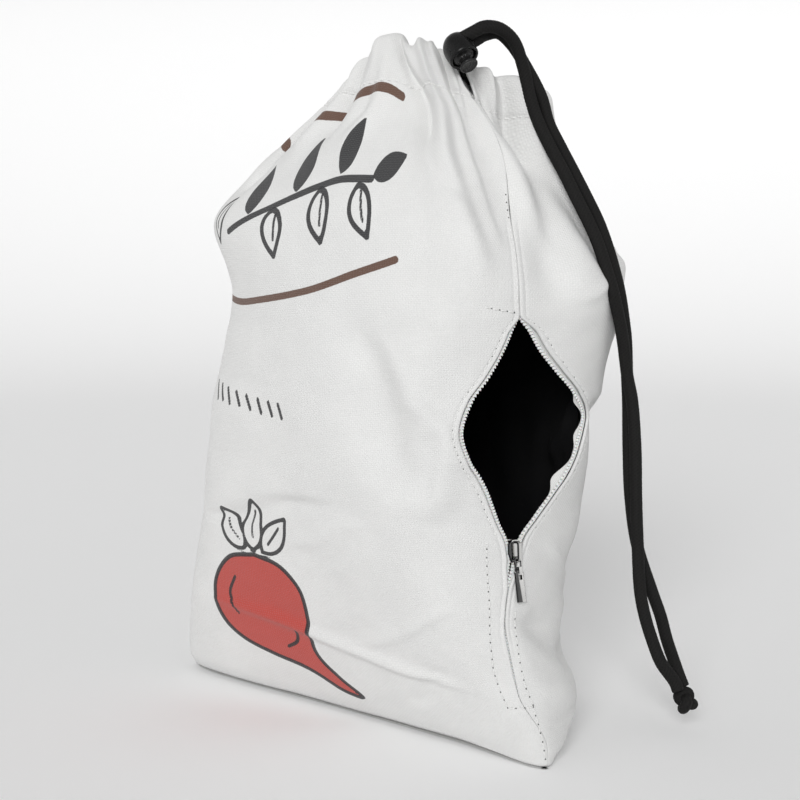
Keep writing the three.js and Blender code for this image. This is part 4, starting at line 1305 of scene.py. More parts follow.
# Way over the rim: shares of the casing's depth below it and of its width inwards
CASING_PROFILE = ((1.0, 0.0), (0.62, 0.0), (0.27, 0.0), (0.08, 0.15), (0.0, 0.5), (0.08, 0.85),
                  (0.27, 1.0), (0.52, 1.0), (0.76, 0.86), (1.0, 0.22))
STITCH_FROM_LIP = 3.4
# Depths of the grooves that rows of stitches draw into the cloth
ZIP_GROOVE = 0.42
CASING_GROOVE = 0.55
# Distance from the edge or the far seam of the column beside it
NEAR_SEAM = 0.176
# Distances from the lip of the columns beside it
NEAR_LIP = (0.0, NEAR_SEAM, 0.6, 1.0, 1.5, 2.1, 2.7, 3.1, 3.4, 3.7, 4.1, 4.8, 5.6, 6.5, 7.5, 8.6,
            9.8, 11.0, 12.2)
# Columns that the hem's inner ply and fold use again, counted from the lip, and their depths
HEM_TURN = ((15, 1.2), (9, 1.2), (5, 1.2), (2, 1.2), (1, 1.02), (0, 0.6), (1, 0.18))
# The same at the far seam, counted back from its last column
FAR_TURN = ((1, 0.18), (0, 0.6), (1, 1.02))
# Lowest that the lining hangs over the floor
LINING_FLOOR = 3.2


def casing_rows(spacing: float) -> tuple[Array, Array]:
    """Rows over the rim and down the casing's inner ply, on a smooth line.

    Args:
        spacing: about the distance between rows.

    Returns:
        Rises and inward shares.
    """
    profile = [(inward * CASING_WIDTH, -below * CASING_DEPTH, 0.0)
               for below, inward in CASING_PROFILE]
    line = rounded_path(profile, spacing)
    return 1 + line[:, 1] / RIM_HEIGHT, np.clip(line[:, 0] / CASING_WIDTH, 0, 1)


def casing_point(around: Array, rise: Array, inward: Array) -> Array:
    """Cloth's face, led level over the rim to the casing's inner ply.

    Args:
        around: shares of the girth.
        rise: shares of the rim height.
        inward: 0 at the outer ply, 1 at the inner one.

    Returns:
        Points in millimetres.
    """
    out = FORM.outward(around, rise, FORM.smooth)
    out[..., 2] = 0.0
    return (FORM.point(around, rise, 1 - 0.2 * inward)
            - unit(out) * (inward * CASING_WIDTH)[..., None])


@dataclass
class Panel:
    """One panel of the cloth, hemmed at the zipped side and turned over the rim as a casing.

    Args:
        side: 1 for the printed front, -1 for the back with the base.
        node: the solid that it stands for.
        rows: rows of its grid below the casing.
        columns: columns between the hem and the far seam.
        fold: radius of its hem's fold.
        curl: radius of its foot's curl.
        base_rows: rows across the base.
    """

    side: int
    node: str
    rows: int = 225
    columns: int = 212
    fold: float = 0.6
    curl: float = 2.2
    base_rows: int = 14

    def grid(self) -> tuple[Array, Array, Array, Array]:
        """Grid of the panel, with columns crowded at its lip.

        Returns:
            Places round the bag, rises, inward shares and distances from the lip.
        """
        low = self.curl / RIM_HEIGHT
        top_rise, top_in = casing_rows(0.9)
        rise = np.concatenate([np.linspace(low, top_rise[0], self.rows, endpoint=False),
                               top_rise])
        inward = np.concatenate([np.zeros(self.rows), top_in])
        edge = lip_distance(self.side, rise * RIM_HEIGHT)[:, None]
        far = 0.5 * GIRTH - 0.05
        near = np.array(NEAR_LIP)
        share = np.linspace(0, 1, self.columns)[1:]
        middle = near[-1] + share * (far - self.fold - edge - near[-1])
        tail = np.array([far - NEAR_SEAM, far])[None, :] - edge
        distance = np.hstack([np.repeat(near[None], len(rise), 0), middle, tail])
        around = (edge + distance) / GIRTH
        around = around if self.side > 0 else 1 - around
        return (around, np.repeat(rise[:, None], around.shape[1], 1),
                np.repeat(inward[:, None], around.shape[1], 1), distance)

    def normals(self, points: Array) -> Array:
        """Unit normals out of the bag: the grid's way up crossed with its way round.

        Args:
            points: grid of points.

        Returns:
            The normals.
        """
        along = np.gradient(points, axis=1)
        up = np.gradient(points, axis=0)
        return unit(np.cross(up, along)) * self.side

    def sewn(self, distance: Array, height: Array, inward: Array) -> Array:
        """Depth of the grooves that stitching draws: bells across each row, a puff at the lip.

        Args:
            distance: distance from the lip.
            height: millimetres over the floor.
            inward: 0 at the outer ply, 1 at the inner one.

        Returns:
            Millimetres.
        """
        beside_zip = smooth_step(SLIDER_HEIGHT - 50, SLIDER_HEIGHT - 30, height) * (
            1 - smooth_step(ZIP_TOP + 34, ZIP_TOP + 44, height))
        line = np.exp(-(((distance - STITCH_FROM_LIP) / 0.75) ** 2))
        pull = 0.75 + 0.25 * np.cos(2 * math.pi * height / 3.5)
        puff = 0.22 * np.exp(-(((distance - 1.3) / 1.0) ** 2))
        groove = (ZIP_GROOVE * line * pull - puff) * beside_zip
        casing = np.exp(-(((height - (RIM_HEIGHT - CASING_DEPTH)) / 1.0) ** 2)) * (inward < 0.1)
        return groove + CASING_GROOVE * casing

    def wrapped(self) -> tuple[Array, Array, Array, Array]:
        """Grid with its hem turned at the zipped side and its foot curled under.

        Returns:
            Points, cloth coordinates, places round the bag and heights.
        """
        around, rise, inward, distance = self.grid()
        points = casing_point(around, rise, inward)
        normal = self.normals(points)
        height = rise * RIM_HEIGHT
        points = points - normal * self.sewn(distance, height, inward)[..., None]
        last = around.shape[1] - 1
        picks = [*HEM_TURN, *((i, 0.0) for i in range(2, last - 1)),
                 *((last - i, depth) for i, depth in FAR_TURN)]
        index = np.array([i for i, _ in picks])
        depth = np.array([d for _, d in picks])[None, :, None]
        points = points[:, index] - normal[:, index] * depth
        around, height = around[:, index], (height + 60.0 * inward)[:, index]
        climb = np.concatenate([[0], np.cumsum(np.linalg.norm(
            np.diff(points[:, len(picks) // 2], axis=0), axis=1))])[:, None] + self.curl
        cloth = np.stack([around * GIRTH, np.repeat(climb, points.shape[1], 1)], axis=-1)
        foot, foot_cloth = self.foot(points, cloth)
        foot[..., 2] = np.maximum(foot[..., 2], 0.1)
        return (np.concatenate([foot, points]), np.concatenate([foot_cloth, cloth]),
                np.concatenate([np.repeat(around[:1], len(foot), 0), around]),
                np.concatenate([np.zeros((len(foot), height.shape[1])), height]))

    def foot(self, points: Array, cloth: Array) -> tuple[Array, Array]:
        """Rows that curl under on a quarter circle; the back's then cross the base in lines.

        Args:
            points: rows over the foot.
            cloth: their cloth coordinates.

        Returns:
            Points and cloth coordinates.
        """
        lowest = points[0]
        out = FORM.outward(cloth[0, :, 0] / GIRTH, np.full(len(lowest), 0.01), FORM.smooth)
        inward = -unit(out * np.array([1.0, 1.0, 0.0]))
        places = cloth[0, :, 0]
        # The front's foot stands a little clear of the floor between its tips
        raised = 2.1 * smooth_step(18, 60, places) * (1 - smooth_step(215, 250, places))
        lift = raised * (self.side > 0)
        floor = 0.35 if self.side > 0 else 0.15
        angle = np.linspace(math.pi / 2, 0, 5, endpoint=False)[:, None, None]
        drop = (self.curl - floor) * np.sin(angle)
        curled = lowest[None] + inward[None] * (1 - np.cos(angle)) * self.curl
        curled[..., 2] = (lowest[None, :, 2:] - drop)[..., 0] + lift * np.sin(angle[..., 0])
        if self.side < 0:
            around = np.clip(cloth[0, :, 0] / GIRTH, 0.5, 1)
            front = FORM.smooth(1 - around, np.full(len(around), 0.004))
            share = np.linspace(0.985, 0.0, self.base_rows, endpoint=False)[:, None, None]
            base = curled[:1] + (front[None] - curled[:1]) * share
            base[..., 2] = 0.12
            under = base
        else:
            under = curled[:1] + inward[None] * 5.0
        block = np.concatenate([under, curled])
        flat = np.repeat(cloth[:1], len(block), 0)
        flat[..., 1] -= (np.arange(len(block))[::-1] * 1.5)[:, None]
        return block, flat

    def build(self, materials: Materials) -> None:
        """Make the panel with its cloth coordinates and print.

        Args:
            materials: the bag's materials.
        """
        points, cloth, around, height = self.wrapped()
        faces = grid_faces(points.shape[0], points.shape[1])
        faces = faces[:, ::-1] if self.side > 0 else faces
        drawn = np.stack([around * GIRTH, height], axis=-1)
        scalars = Print().distances(drawn) if self.side > 0 else None
        material = materials.printed if self.side > 0 else materials.cotton
        piece = mesh_object(f"cloth_{self.node}", points, faces, material,
                            scalars=scalars, vectors={"cloth_mm": cloth})
        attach(piece, "bag")
        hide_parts(self.node)
        LOG.info("%s: %d faces", piece.name, len(faces))


@dataclass
class Lining:
    """Black cloth that hangs inside a panel.

    Args:
        side: 1 behind the front panel, -1 behind the back one.
        node: the solid that it stands for.
        rows: rows of its grid.
        columns: columns of its grid.
        beside_zip: how far inside the cloth it hangs at the opening.
        free: how far inside it hangs elsewhere.
        crowd: 0 for even columns, up to 1 for ones crowded to the zipped edge.
    """

    side: int
    node: str
    rows: int = 90
    columns: int = 90
    beside_zip: float = 3.4
    free: float = 8.0
    crowd: float = 0.7

    def edge(self, height: Array) -> Array:
        """Distance of the lining's edge from the zipped seam, a wavy cut behind the back lip.

        Args:
            height: millimetres over the floor.

        Returns:
            Millimetres.
        """
        beside = smooth_step(ZIP_BOTTOM - 8, ZIP_BOTTOM, height) * (
            1 - smooth_step(ZIP_TOP + 2, ZIP_TOP + 12, height))
        wave = 1.1 * np.abs(np.sin(height * math.pi / 9.0 + 0.8 * np.sin(height / 7.0)))
        shown = 1.2 if self.side > 0 else 0.6 + wave
        foot = 7.0 * (1 - smooth_step(8, 20, height))
        return lip_distance(self.side, height) + shown * beside + 0.6 + foot

    def places(self, heights: Array) -> Array:
        """Places of its grid round the bag, crowded to the zipped edge by a square.

        Args:
            heights: height of each row.

        Returns:
            Shares of the girth.
        """
        t = np.linspace(0, 1, self.columns)[None, :]
        t = t * (1 - self.crowd) + self.crowd * t * t
        start = self.edge(heights)[:, None] / GIRTH
        around = start + (0.5 - 0.1 / GIRTH - start) * t
        return around if self.side > 0 else 1 - around

    def build(self, materials: Materials) -> None:
        """Make the lining: the smooth form moved in, with the folds' dents and slow waves.

        Args:
            materials: the bag's materials.
        """
        rise = np.linspace(0.015, 0.945 if self.side > 0 else 0.925, self.rows)
        around = self.places(rise * RIM_HEIGHT)
        rise = np.repeat(rise[:, None], self.columns, 1)
        normal = FORM.outward(around, rise, FORM.smooth)
        fine = sum(FORM.fold_at(fold, around, rise) for fold in FORM.creases)
        main = sum(FORM.fold_at(fold, around, rise) for fold in FORM.folds)
        main = (main + np.minimum(fine, 0)) * BELLY_DEPTH
        run = np.abs(np.where(self.side > 0, around, 1 - around)) * GIRTH
        run = run - lip_distance(self.side, rise * RIM_HEIGHT)
        depth = self.beside_zip + (self.free - self.beside_zip) * smooth_step(2.0, 26.0, run)
        loose = 1.3 * drift(around * GIRTH, rise * RIM_HEIGHT, 26.0, 11) * smooth_step(8, 30, run)
        points = FORM.smooth(around, rise) + normal * (main - depth + loose)[..., None]
        points[..., 2] = np.maximum(points[..., 2], LINING_FLOOR)
        cloth = np.stack([around * GIRTH, rise * RIM_HEIGHT], axis=-1)
        if self.side < 0:
            points, cloth = self.with_floor(points, cloth, around)
        faces = grid_faces(points.shape[0], points.shape[1])
        faces = faces[:, ::-1] if self.side > 0 else faces
        piece = mesh_object(f"cloth_{self.node}", points, faces, materials.lining,
                            vectors={"cloth_mm": cloth})
        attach(piece, "bag")
        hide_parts(self.node)
        LOG.info("%s: %d faces", piece.name, len(faces))

    @staticmethod
    def with_floor(points: Array, cloth: Array, around: Array) -> tuple[Array, Array]:
        """Add the rows that cross the bag's floor in straight lines to the front.

        Args:
            points: rows of the lining.
            cloth: their cloth coordinates.
            around: their places round the bag.

        Returns:
            Points and cloth coordinates.
        """
        rows = 12
        opposite, low = 1 - around[0], np.full(around.shape[1], 0.012)
        front = FORM.smooth(opposite, low) - FORM.outward(opposite, low, FORM.smooth) * 9.0
        share = np.linspace(1, 0, rows, endpoint=False)[:, None, None]
        floor = points[:1] + (front[None] - points[:1]) * share
        floor[..., 2] = LINING_FLOOR
        flat = np.repeat(cloth[:1], rows, 0)
        return np.concatenate([floor, points]), np.concatenate([flat, cloth])


class Drawn(Enum):
    """How a shape of the print is drawn."""

    FILL = "fill"
    OUTLINE = "outline"
    STROKE = "stroke"


@dataclass(frozen=True)
class Shape:
    """A printed shape over cloth coordinates, in millimetres.

    Args:
        ink: name of its ink.
        drawn: filled, outlined or a single stroke.
        points: places on its curve.
        line: width of its line, for an outline or a stroke.
    """

    ink: str
    drawn: Drawn
    points: tuple[tuple[float, float], ...]
    line: float = 0.0

    def distance(self, cloth: Array) -> Array:
        """Distance to the curve, negative inside a closed one, and to a stroke's edge.

        An outline's is in halves of its line, so that ink lies between -1 and 1.

        Args:
            cloth: places on the cloth.

        Returns:
            The distances.
        """
        closed = self.drawn is not Drawn.STROKE
        route = self.points + self.points[:1] if closed else self.points
        outline = rounded_path([(x, y, 0.0) for x, y in route], 2.0)[:, :2]
        place = cloth.reshape(-1, 2)
        best = np.full(len(place), 1e9)
        inside = np.zeros(len(place), bool)
        for start, end in zip(outline[:-1], outline[1:]):
            edge = end - start
            t = np.clip(((place - start) @ edge) / max(edge @ edge, 1e-9), 0, 1)
            best = np.minimum(best, np.linalg.norm(place - start - t[:, None] * edge, axis=1))
            crosses = (start[1] > place[:, 1]) != (end[1] > place[:, 1])
            rate = (end[0] - start[0]) / (end[1] - start[1] if end[1] != start[1] else 1e-9)
            inside ^= crosses & (place[:, 0] < start[0] + (place[:, 1] - start[1]) * rate)
        signed = np.where(inside, -best, best).reshape(cloth.shape[:-1])
        if self.drawn is Drawn.FILL:
            return signed
        if self.drawn is Drawn.OUTLINE:
            return signed / (self.line / 2)
        return best.reshape(cloth.shape[:-1]) - self.line / 2


def leaf(stalk: tuple[float, float], tip: tuple[float, float],
         width: float) -> tuple[tuple[float, float], ...]:
    """Outline of a pointed leaf, whose half width is a table along its middle line.

    Args:
        stalk: its lower end.
        tip: its upper end.
        width: its widest place.

    Returns:
        The outline's points.
    """
    start, end = np.array(stalk), np.array(tip)
    across = np.array([start[1] - end[1], end[0] - start[0]]) / math.dist(stalk, tip)
    along = np.array([0.0, 0.12, 0.32, 0.55, 0.80, 0.97, 1.0, 0.97, 0.80, 0.55, 0.32, 0.12])
    half = np.array([0.0, 0.62, 0.98, 0.95, 0.50, 0.06, 0.0, -0.06, -0.50, -0.95, -0.98, -0.62])
    line = start + along[:, None] * (end - start) + half[:, None] * across * width / 2
    return tuple((float(x), float(y)) for x, y in line)


# Print of the front, as shapes over cloth coordinates in millimetres
ROOT = ((152.0, 73.0), (166.0, 69.0), (174.0, 57.0), (173.0, 43.0), (164.0, 31.0),
        (150.0, 24.0), (136.0, 20.0), (122.0, 13.0), (113.0, 12.0), (122.0, 20.0),
        (130.0, 30.0), (129.0, 44.0), (130.0, 60.0), (139.0, 70.0))
STROKES = (
    ("brown", 3.2, ((197.0, 258.5), (190.0, 257.0), (184.0, 255.5))),
    ("brown", 3.2, ((164.0, 260.0), (150.0, 261.4), (136.0, 263.0))),
    ("brown", 3.2, ((134.4, 266.4), (120.3, 268.4), (104.0, 268.6), (90.0, 266.2))),
    ("brown", 3.1, ((196.0, 189.0), (175.0, 187.5), (157.8, 188.6), (117.7, 194.4),
                    (96.3, 200.9), (73.4, 207.4))),
    ("black", 2.8, ((176.0, 219.0), (158.0, 226.0), (136.0, 233.0), (112.0, 238.0),
                    (90.0, 238.0))),
    ("black", 1.5, ((145.0, 226.0), (144.0, 215.0))),
    ("black", 1.5, ((119.0, 233.0), (116.0, 221.0))),
    ("black", 1.5, ((95.0, 234.0), (91.0, 222.5))),
    ("black", 1.6, ((187.0, 232.0), (188.0, 221.0))),
    ("black", 1.9, ((188.0, 150.0), (182.0, 142.0))),
    ("black", 1.9, ((180.0, 149.0), (175.0, 142.0))),
    ("black", 1.9, ((172.0, 148.0), (168.0, 141.0))),
    ("black", 1.9, ((164.0, 147.0), (160.0, 141.0))),
    ("black", 1.9, ((156.0, 146.0), (152.5, 140.0))),
    ("black", 1.9, ((148.0, 145.0), (145.0, 139.0))),
    ("black", 1.9, ((140.5, 144.5), (137.5, 138.5))),
    ("black", 1.9, ((133.5, 144.0), (130.5, 138.0))),
    ("black", 1.5, ((163.0, 60.0), (166.0, 51.0), (162.0, 42.0))),
    ("black", 1.5, ((143.0, 30.0), (138.0, 34.0), (136.5, 40.0))),
    ("black", 1.3, ((144.0, 79.0), (136.5, 88.0))),
    ("black", 1.3, ((152.0, 81.0), (152.5, 93.0))),
    ("black", 1.3, ((160.0, 79.0), (169.0, 87.0))),
)
FILLED_LEAVES = (
    ((162.0, 226.0), (166.0, 246.0), 10.0),
    ((138.0, 234.0), (141.0, 255.0), 11.0),
    ((112.0, 240.0), (110.0, 259.0), 11.0),
    ((90.0, 239.0), (70.0, 247.0), 10.0),
)
DRAWN_LEAVES = (
    (2.3, (148.0, 228.0), (143.0, 208.0), 11.0),
    (2.3, (122.0, 235.0), (114.0, 214.0), 11.0),
    (2.3, (98.0, 236.0), (88.0, 216.0), 11.0),
    (1.9, (186.0, 236.0), (189.0, 214.0), 11.0),
    (1.8, (147.0, 75.0), (132.0, 93.0), 11.0),
    (1.8, (152.0, 75.0), (153.0, 99.0), 11.0),
    (1.8, (157.0, 75.0), (174.0, 92.0), 11.0),
)
PRINT = (
    *(Shape(ink, Drawn.STROKE, points, line) for ink, line, points in STROKES),
    *(Shape("black", Drawn.FILL, leaf(*place)) for place in FILLED_LEAVES),
    *(Shape("black", Drawn.OUTLINE, leaf(*place), line) for line, *place in DRAWN_LEAVES),
    Shape("black", Drawn.OUTLINE, ROOT, 2.1),
    Shape("red", Drawn.FILL, ROOT),
)
class Print:
    """The front panel's print: stripes, small marks and generic vegetables."""

    KEYS = ("brown_stroke", "red_fill", "black_fill", "black_stroke", "black_outline")

    def distances(self, cloth: Array) -> dict[str, Array]:
        """Distance to each kind of ink, the least over its shapes.

        Args:
            cloth: places on the cloth.

        Returns:
            Distances by attribute name.
        """
        found = {name: np.full(cloth.shape[:-1], 50.0) for name in self.KEYS}
        for shape in PRINT:
            key = f"{shape.ink}_{shape.drawn.value}"
            found[key] = np.minimum(found[key], shape.distance(cloth))
        return found


# Sewn lines on the cloth, as distance round from the zipped seam and height
SEWN_PATHS = (
    ((1.3, 187.0), (1.3, 234.0)),
    ((19.3, 92.2), (22.9, 67.7), (26.6, 51.8), (28.4, 38.9), (27.0, 31.0), (24.5, 23.8)),
    ((4.2, 62.6), (7.3, 51.1), (8.3, 43.2), (8.0, 32.0), (5.2, 25.2)),
    ((24.5, 23.8), (5.2, 24.6)),
    ((5.7, 24.5), (3.4, 4.0)),
    ((21.9, 188.5), (3.4, 186.0)),
)


@dataclass
class Zipper:
    """Tapes and coils of the zipper behind the lips of its opening.

    Args:
        pitch: distance between the coils' turns.
        tape_width: how far a tape reaches behind its lip.
        tooth: width of a turn across the coil.
        wire: radius of its wire.
        rows: rows of a tape's grid.
        columns: columns of a tape's grid.
    """

    pitch: float = 1.27
    tape_width: float = 9.0
    tooth: float = 2.3
    wire: float = 0.52
    rows: int = 170
    columns: int = 16

    def tape(self, side: int, node: str, materials: Materials) -> None:
        """Make one tape: a grid behind the lip, thickened.

        Args:
            side: 1 for the front, -1 for the back.
            node: the solid.
            materials: the bag's materials.
        """
        heights = np.linspace(ZIP_BOTTOM - 3, ZIP_TOP + 3, self.rows)
        start = coil_distance(side, heights)[:, None] - 0.6 - self.frayed(side, heights)[:, None]
        distance = start + np.linspace(0, 1, self.columns)[None, :] ** 1.5 * self.tape_width
        around = distance / GIRTH if side > 0 else 1 - distance / GIRTH
        rise = np.repeat(heights[:, None] / RIM_HEIGHT, self.columns, 1)
        sunk = 1.95 + 0.4 * np.clip(coil_distance(side, heights)[:, None] - 0.6 - distance, 0, 9)
        points = FORM.inside(around, rise, sunk)
        faces = grid_faces(self.rows, self.columns)
        faces = faces[:, ::-1] if side > 0 else faces
        cloth = np.stack([distance, np.repeat(heights[:, None], self.columns, 1)], axis=-1)
        piece = mesh_object(f"{node}_cloth", points, faces, materials.tape,
                            vectors={"cloth_mm": cloth})
        solid = piece.modifiers.new("thickness", "SOLIDIFY")
        solid.thickness = 0.5 * MM
        solid.offset = -1
        apply_modifiers(piece)
        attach(piece, "bag")
        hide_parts(node)

    @staticmethod
    def frayed(side: int, heights: Array) -> Array:
        """How far the hem behind the back tape shows past the coil, in bells."""
        shown = sum(far * np.exp(-(((heights - middle) / reach) ** 2))
                    for middle, reach, far in HEM_TONGUES)
        return shown * (side < 0)

    def coil(self, side: int, node: str, materials: Materials) -> None:
        """Make one coil: flattened bars across it with heads, and two threads along it.

        Args:
            side: 1 for the front, -1 for the back.
            node: the solid.
            materials: the bag's materials.
        """
        heights = np.arange(ZIP_BOTTOM, ZIP_TOP, self.pitch)
        heights = heights + (0 if side > 0 else self.pitch / 2)
        middle = coil_distance(side, heights)
        rise = heights / RIM_HEIGHT

        def at(distance: Array, depth: float) -> Array:
            """Points behind the outer face."""
            around = distance / GIRTH if side > 0 else 1 - distance / GIRTH
            return FORM.inside(around, rise, depth)

        half = self.tooth / 2
        ups = FORM.outward((middle if side > 0 else -middle) / GIRTH, rise, FORM.smooth)
        teeth = capsules(at(middle - half, 1.45), at(middle + half, 1.55), self.wire, 8, 0.9, ups)
        heads = capsules(at(middle - half - 0.05, 1.40), at(middle - half + 0.35, 1.5),
                         self.wire * 1.3, 8, 0.9, ups)
        threads = []
        for offset in (0.15, 0.85):
            line = at(middle + offset, 1.05)
            threads.append(capsules(line[:-1], line[1:], 0.17, 6, 1.0, ups[:-1]))
        points, faces = merged([teeth, heads, *threads])
        piece = mesh_object(f"{node}_turns", points, faces, materials.coil)
        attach(piece, "bag")
        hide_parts(node)

    def build(self, materials: Materials) -> None:
        """Make both tapes and both coils.

        Args:
            materials: the bag's materials.
        """
        for side, name in ((1, "front"), (-1, "back")):
            self.tape(side, f"zip_tape_{name}", materials)
            self.coil(side, f"zip_coil_{name}", materials)
        LOG.info("zipper: two tapes and two coils")


@dataclass
class Stitching:
    """Rows of thread stitches and the needle holes between them.

    Args:
        pitch: distance from stitch to stitch.
        length: visible length of a stitch.
        thread: radius of the thread.
        hole: radius of a needle hole.
    """

    pitch: float = 3.5
    length: float = 2.5
    thread: float = 0.42
    hole: float = 0.34

    def on_cloth(self, path: Sequence[tuple[float, float]]) -> tuple[Array, Array]:
        """Points along a path on the cloth.

        A place short of the closed seam lies on the back panel, a whole turn further round.

        Args:
            path: distance round and height of its corners.

        Returns:
            Points and normals.
        """
        given = np.array(path, float)
        run = np.linspace(0, len(given) - 1, 60 * (len(given) - 1) + 1)
        distance = np.interp(run, np.arange(len(given)), given[:, 0])
        height = np.interp(run, np.arange(len(given)), given[:, 1])
        around = distance / GIRTH + (distance < seam_shift(height))
        rise = height / RIM_HEIGHT
        return FORM.point(around, rise), FORM.outward(around, rise, FORM.point)

    def row(self, points: Array, normals: Array, sunk: float) -> tuple[Mesh, Mesh]:
        """Stitches that dip at both ends, and holes between them, along a line.

        Args:
            points: places on the cloth.
            normals: its normals there.
            sunk: depth of the groove.

        Returns:
            The thread, and the holes.
        """
        run = np.concatenate([[0], np.cumsum(np.linalg.norm(np.diff(points, axis=0), axis=1))])
        count = max(1, int(run[-1] // self.pitch))
        middles = (np.arange(count) + 0.5) * run[-1] / count

        def at(place: Array, values: Array) -> Array:
            """Values at places along the line."""
            return np.stack([np.interp(place, run, values[:, a]) for a in range(3)], axis=1)

        up = unit(at(middles, normals))
        starts = at(middles - self.length / 2, points) - up * (sunk + 0.10)
        ends = at(middles + self.length / 2, points) - up * (sunk + 0.10)
        lifted = at(middles, points) - up * (sunk - self.thread * 0.9)
        first = capsules(starts, lifted, self.thread, 8, 0.75, up)
        second = capsules(lifted, ends, self.thread, 8, 0.75, up)
        between = at(middles + self.pitch / 2, points)
        direction = unit(ends - starts)
        holes = capsules(between - up * sunk - direction * 0.32, between - up * sunk
                         + direction * 0.32, self.hole, 8, 0.45, up)
        return merged([first, second]), holes

    def rows(self) -> list[tuple[Array, Array, float, bool]]:
        """Every row of stitches.

        Returns:
            Points, normals, depth of the groove and whether holes are open, for each.
        """
        found = []
        heights = np.linspace(SLIDER_HEIGHT + 6, ZIP_TOP - 1, 60)
        for side in (1, -1):
            place = (lip_distance(side, heights) + STITCH_FROM_LIP) * side
            found.append((*self.on_cloth(list(zip(place, heights))), ZIP_GROOVE, True))
        for path in SEWN_PATHS:
            found.append((*self.on_cloth(path), 0.02, True))
        for side, end in ((1, CASING_END_FRONT), (-1, CASING_END_BACK)):
            places = np.linspace(end + 1.5, 0.5 * GIRTH - 1.0, 80) * side
            height = RIM_HEIGHT - CASING_DEPTH
            found.append((*self.on_cloth([(p, height) for p in places]), CASING_GROOVE, False))
        return found

    def build(self, materials: Materials) -> None:
        """Make the thread and the needle holes.

        Args:
            materials: the bag's materials.
        """
        rows = self.rows()
        made = [self.row(*row[:3]) for row in rows]
        open_holes = [pair for pair, row in zip(made, rows) if row[3]]
        for name, shapes, material in (
                ("stitching_thread", [pair[0] for pair in made], materials.thread),
                ("needle_holes", [pair[1] for pair in open_holes], materials.holes)):
            points, faces = merged(shapes)
            piece = mesh_object(name, points, faces, material)
            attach(piece, "bag")
        LOG.info("stitching: %d rows", len(made))


@dataclass
class BraidedCord:
    """Round braided cord along a route.

    Args:
        diameter: its thickness.
        carriers: strands of the braid in each direction.
        lay: length along the cord of one turn of a strand.
        relief: height of the strands.
        spacing: distance between its rings.
        sides: points in a ring.
    """

    diameter: float = CORD
    carriers: int = 8
    lay: float = 13.0
    relief: float = 0.22
    spacing: float = 0.5
    sides: int = 32

    def tube(self, route: Sequence[Sequence[float]],
             squeezed: float = 1.0) -> tuple[Array, Array, Array, Array]:
        """Tube whose radius is a braid: sines of two windings, one over the other by turns.

        Args:
            route: places on its centreline.
            squeezed: share of its radius that is left away from its ends.

        Returns:
            Points, faces, braid height and centreline.
        """
        line = rounded_path(route, self.spacing)
        _, side, up = frames_along(line)
        angle = np.arange(self.sides) * 2 * math.pi / self.sides
        run = np.arange(len(line))[:, None] * line_length(line) / (len(line) - 1)
        turn = self.carriers * angle[None, :]
        climb = self.carriers * 2 * math.pi * run / self.lay
        right = np.abs(np.sin((turn + climb) / 2))
        left = np.abs(np.sin((turn - climb) / 2))
        over = np.sin(turn / 2 + climb / 2) * np.sin(turn / 2 - climb / 2) > 0
        braid = np.where(over, np.maximum(right, 0.7 * left), np.maximum(left, 0.7 * right))
        from_end = np.minimum(run, run[-1] - run)
        radius = self.diameter / 2 - self.relief + self.relief * braid
        radius = radius * (1 - (1 - squeezed) * smooth_step(6.0, 16.0, from_end))
        ring = (np.cos(angle)[None, :, None] * side[:, None, :]
                + np.sin(angle)[None, :, None] * up[:, None, :])
        points = line[:, None, :] + ring * radius[..., None]
        shape = self.capped(points, line)
        height = np.concatenate([[0.5] * self.sides, braid.ravel(), [0.5] * self.sides])
        return shape[0], shape[1], height, line

    def capped(self, points: Array, line: Array) -> tuple[Array, Array]:
        """Close the tube with a small ring at each end.

        Args:
            points: its rings.
            line: its centreline.

        Returns:
            Rings and faces.
        """
        first = line[0] + (points[0] - line[0]) * 0.02
        last = line[-1] + (points[-1] - line[-1]) * 0.02
        rings = np.concatenate([first[None], points, last[None]])
        return rings, tube_faces(len(rings), self.sides)

    def build(self, name: str, node: str, route: Sequence[Sequence[float]],
              materials: Materials, squeezed: float = 1.0) -> tuple[bpy.types.Object, Array]:
        """Make a cord.

        Args:
            name: name of the piece.
            node: the solid.
            route: places on its centreline.
            materials: the bag's materials.
            squeezed: share of its radius that is left away from its ends.

        Returns:
            The piece and its centreline.
        """
        points, faces, height, line = self.tube(route, squeezed)
        piece = mesh_object(name, points, faces, materials.cord, scalars={"braid": height})
        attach(piece, "bag")
        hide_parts(node)
        LOG.info("%s: %.1f mm long", name, line_length(line))
        return piece, line


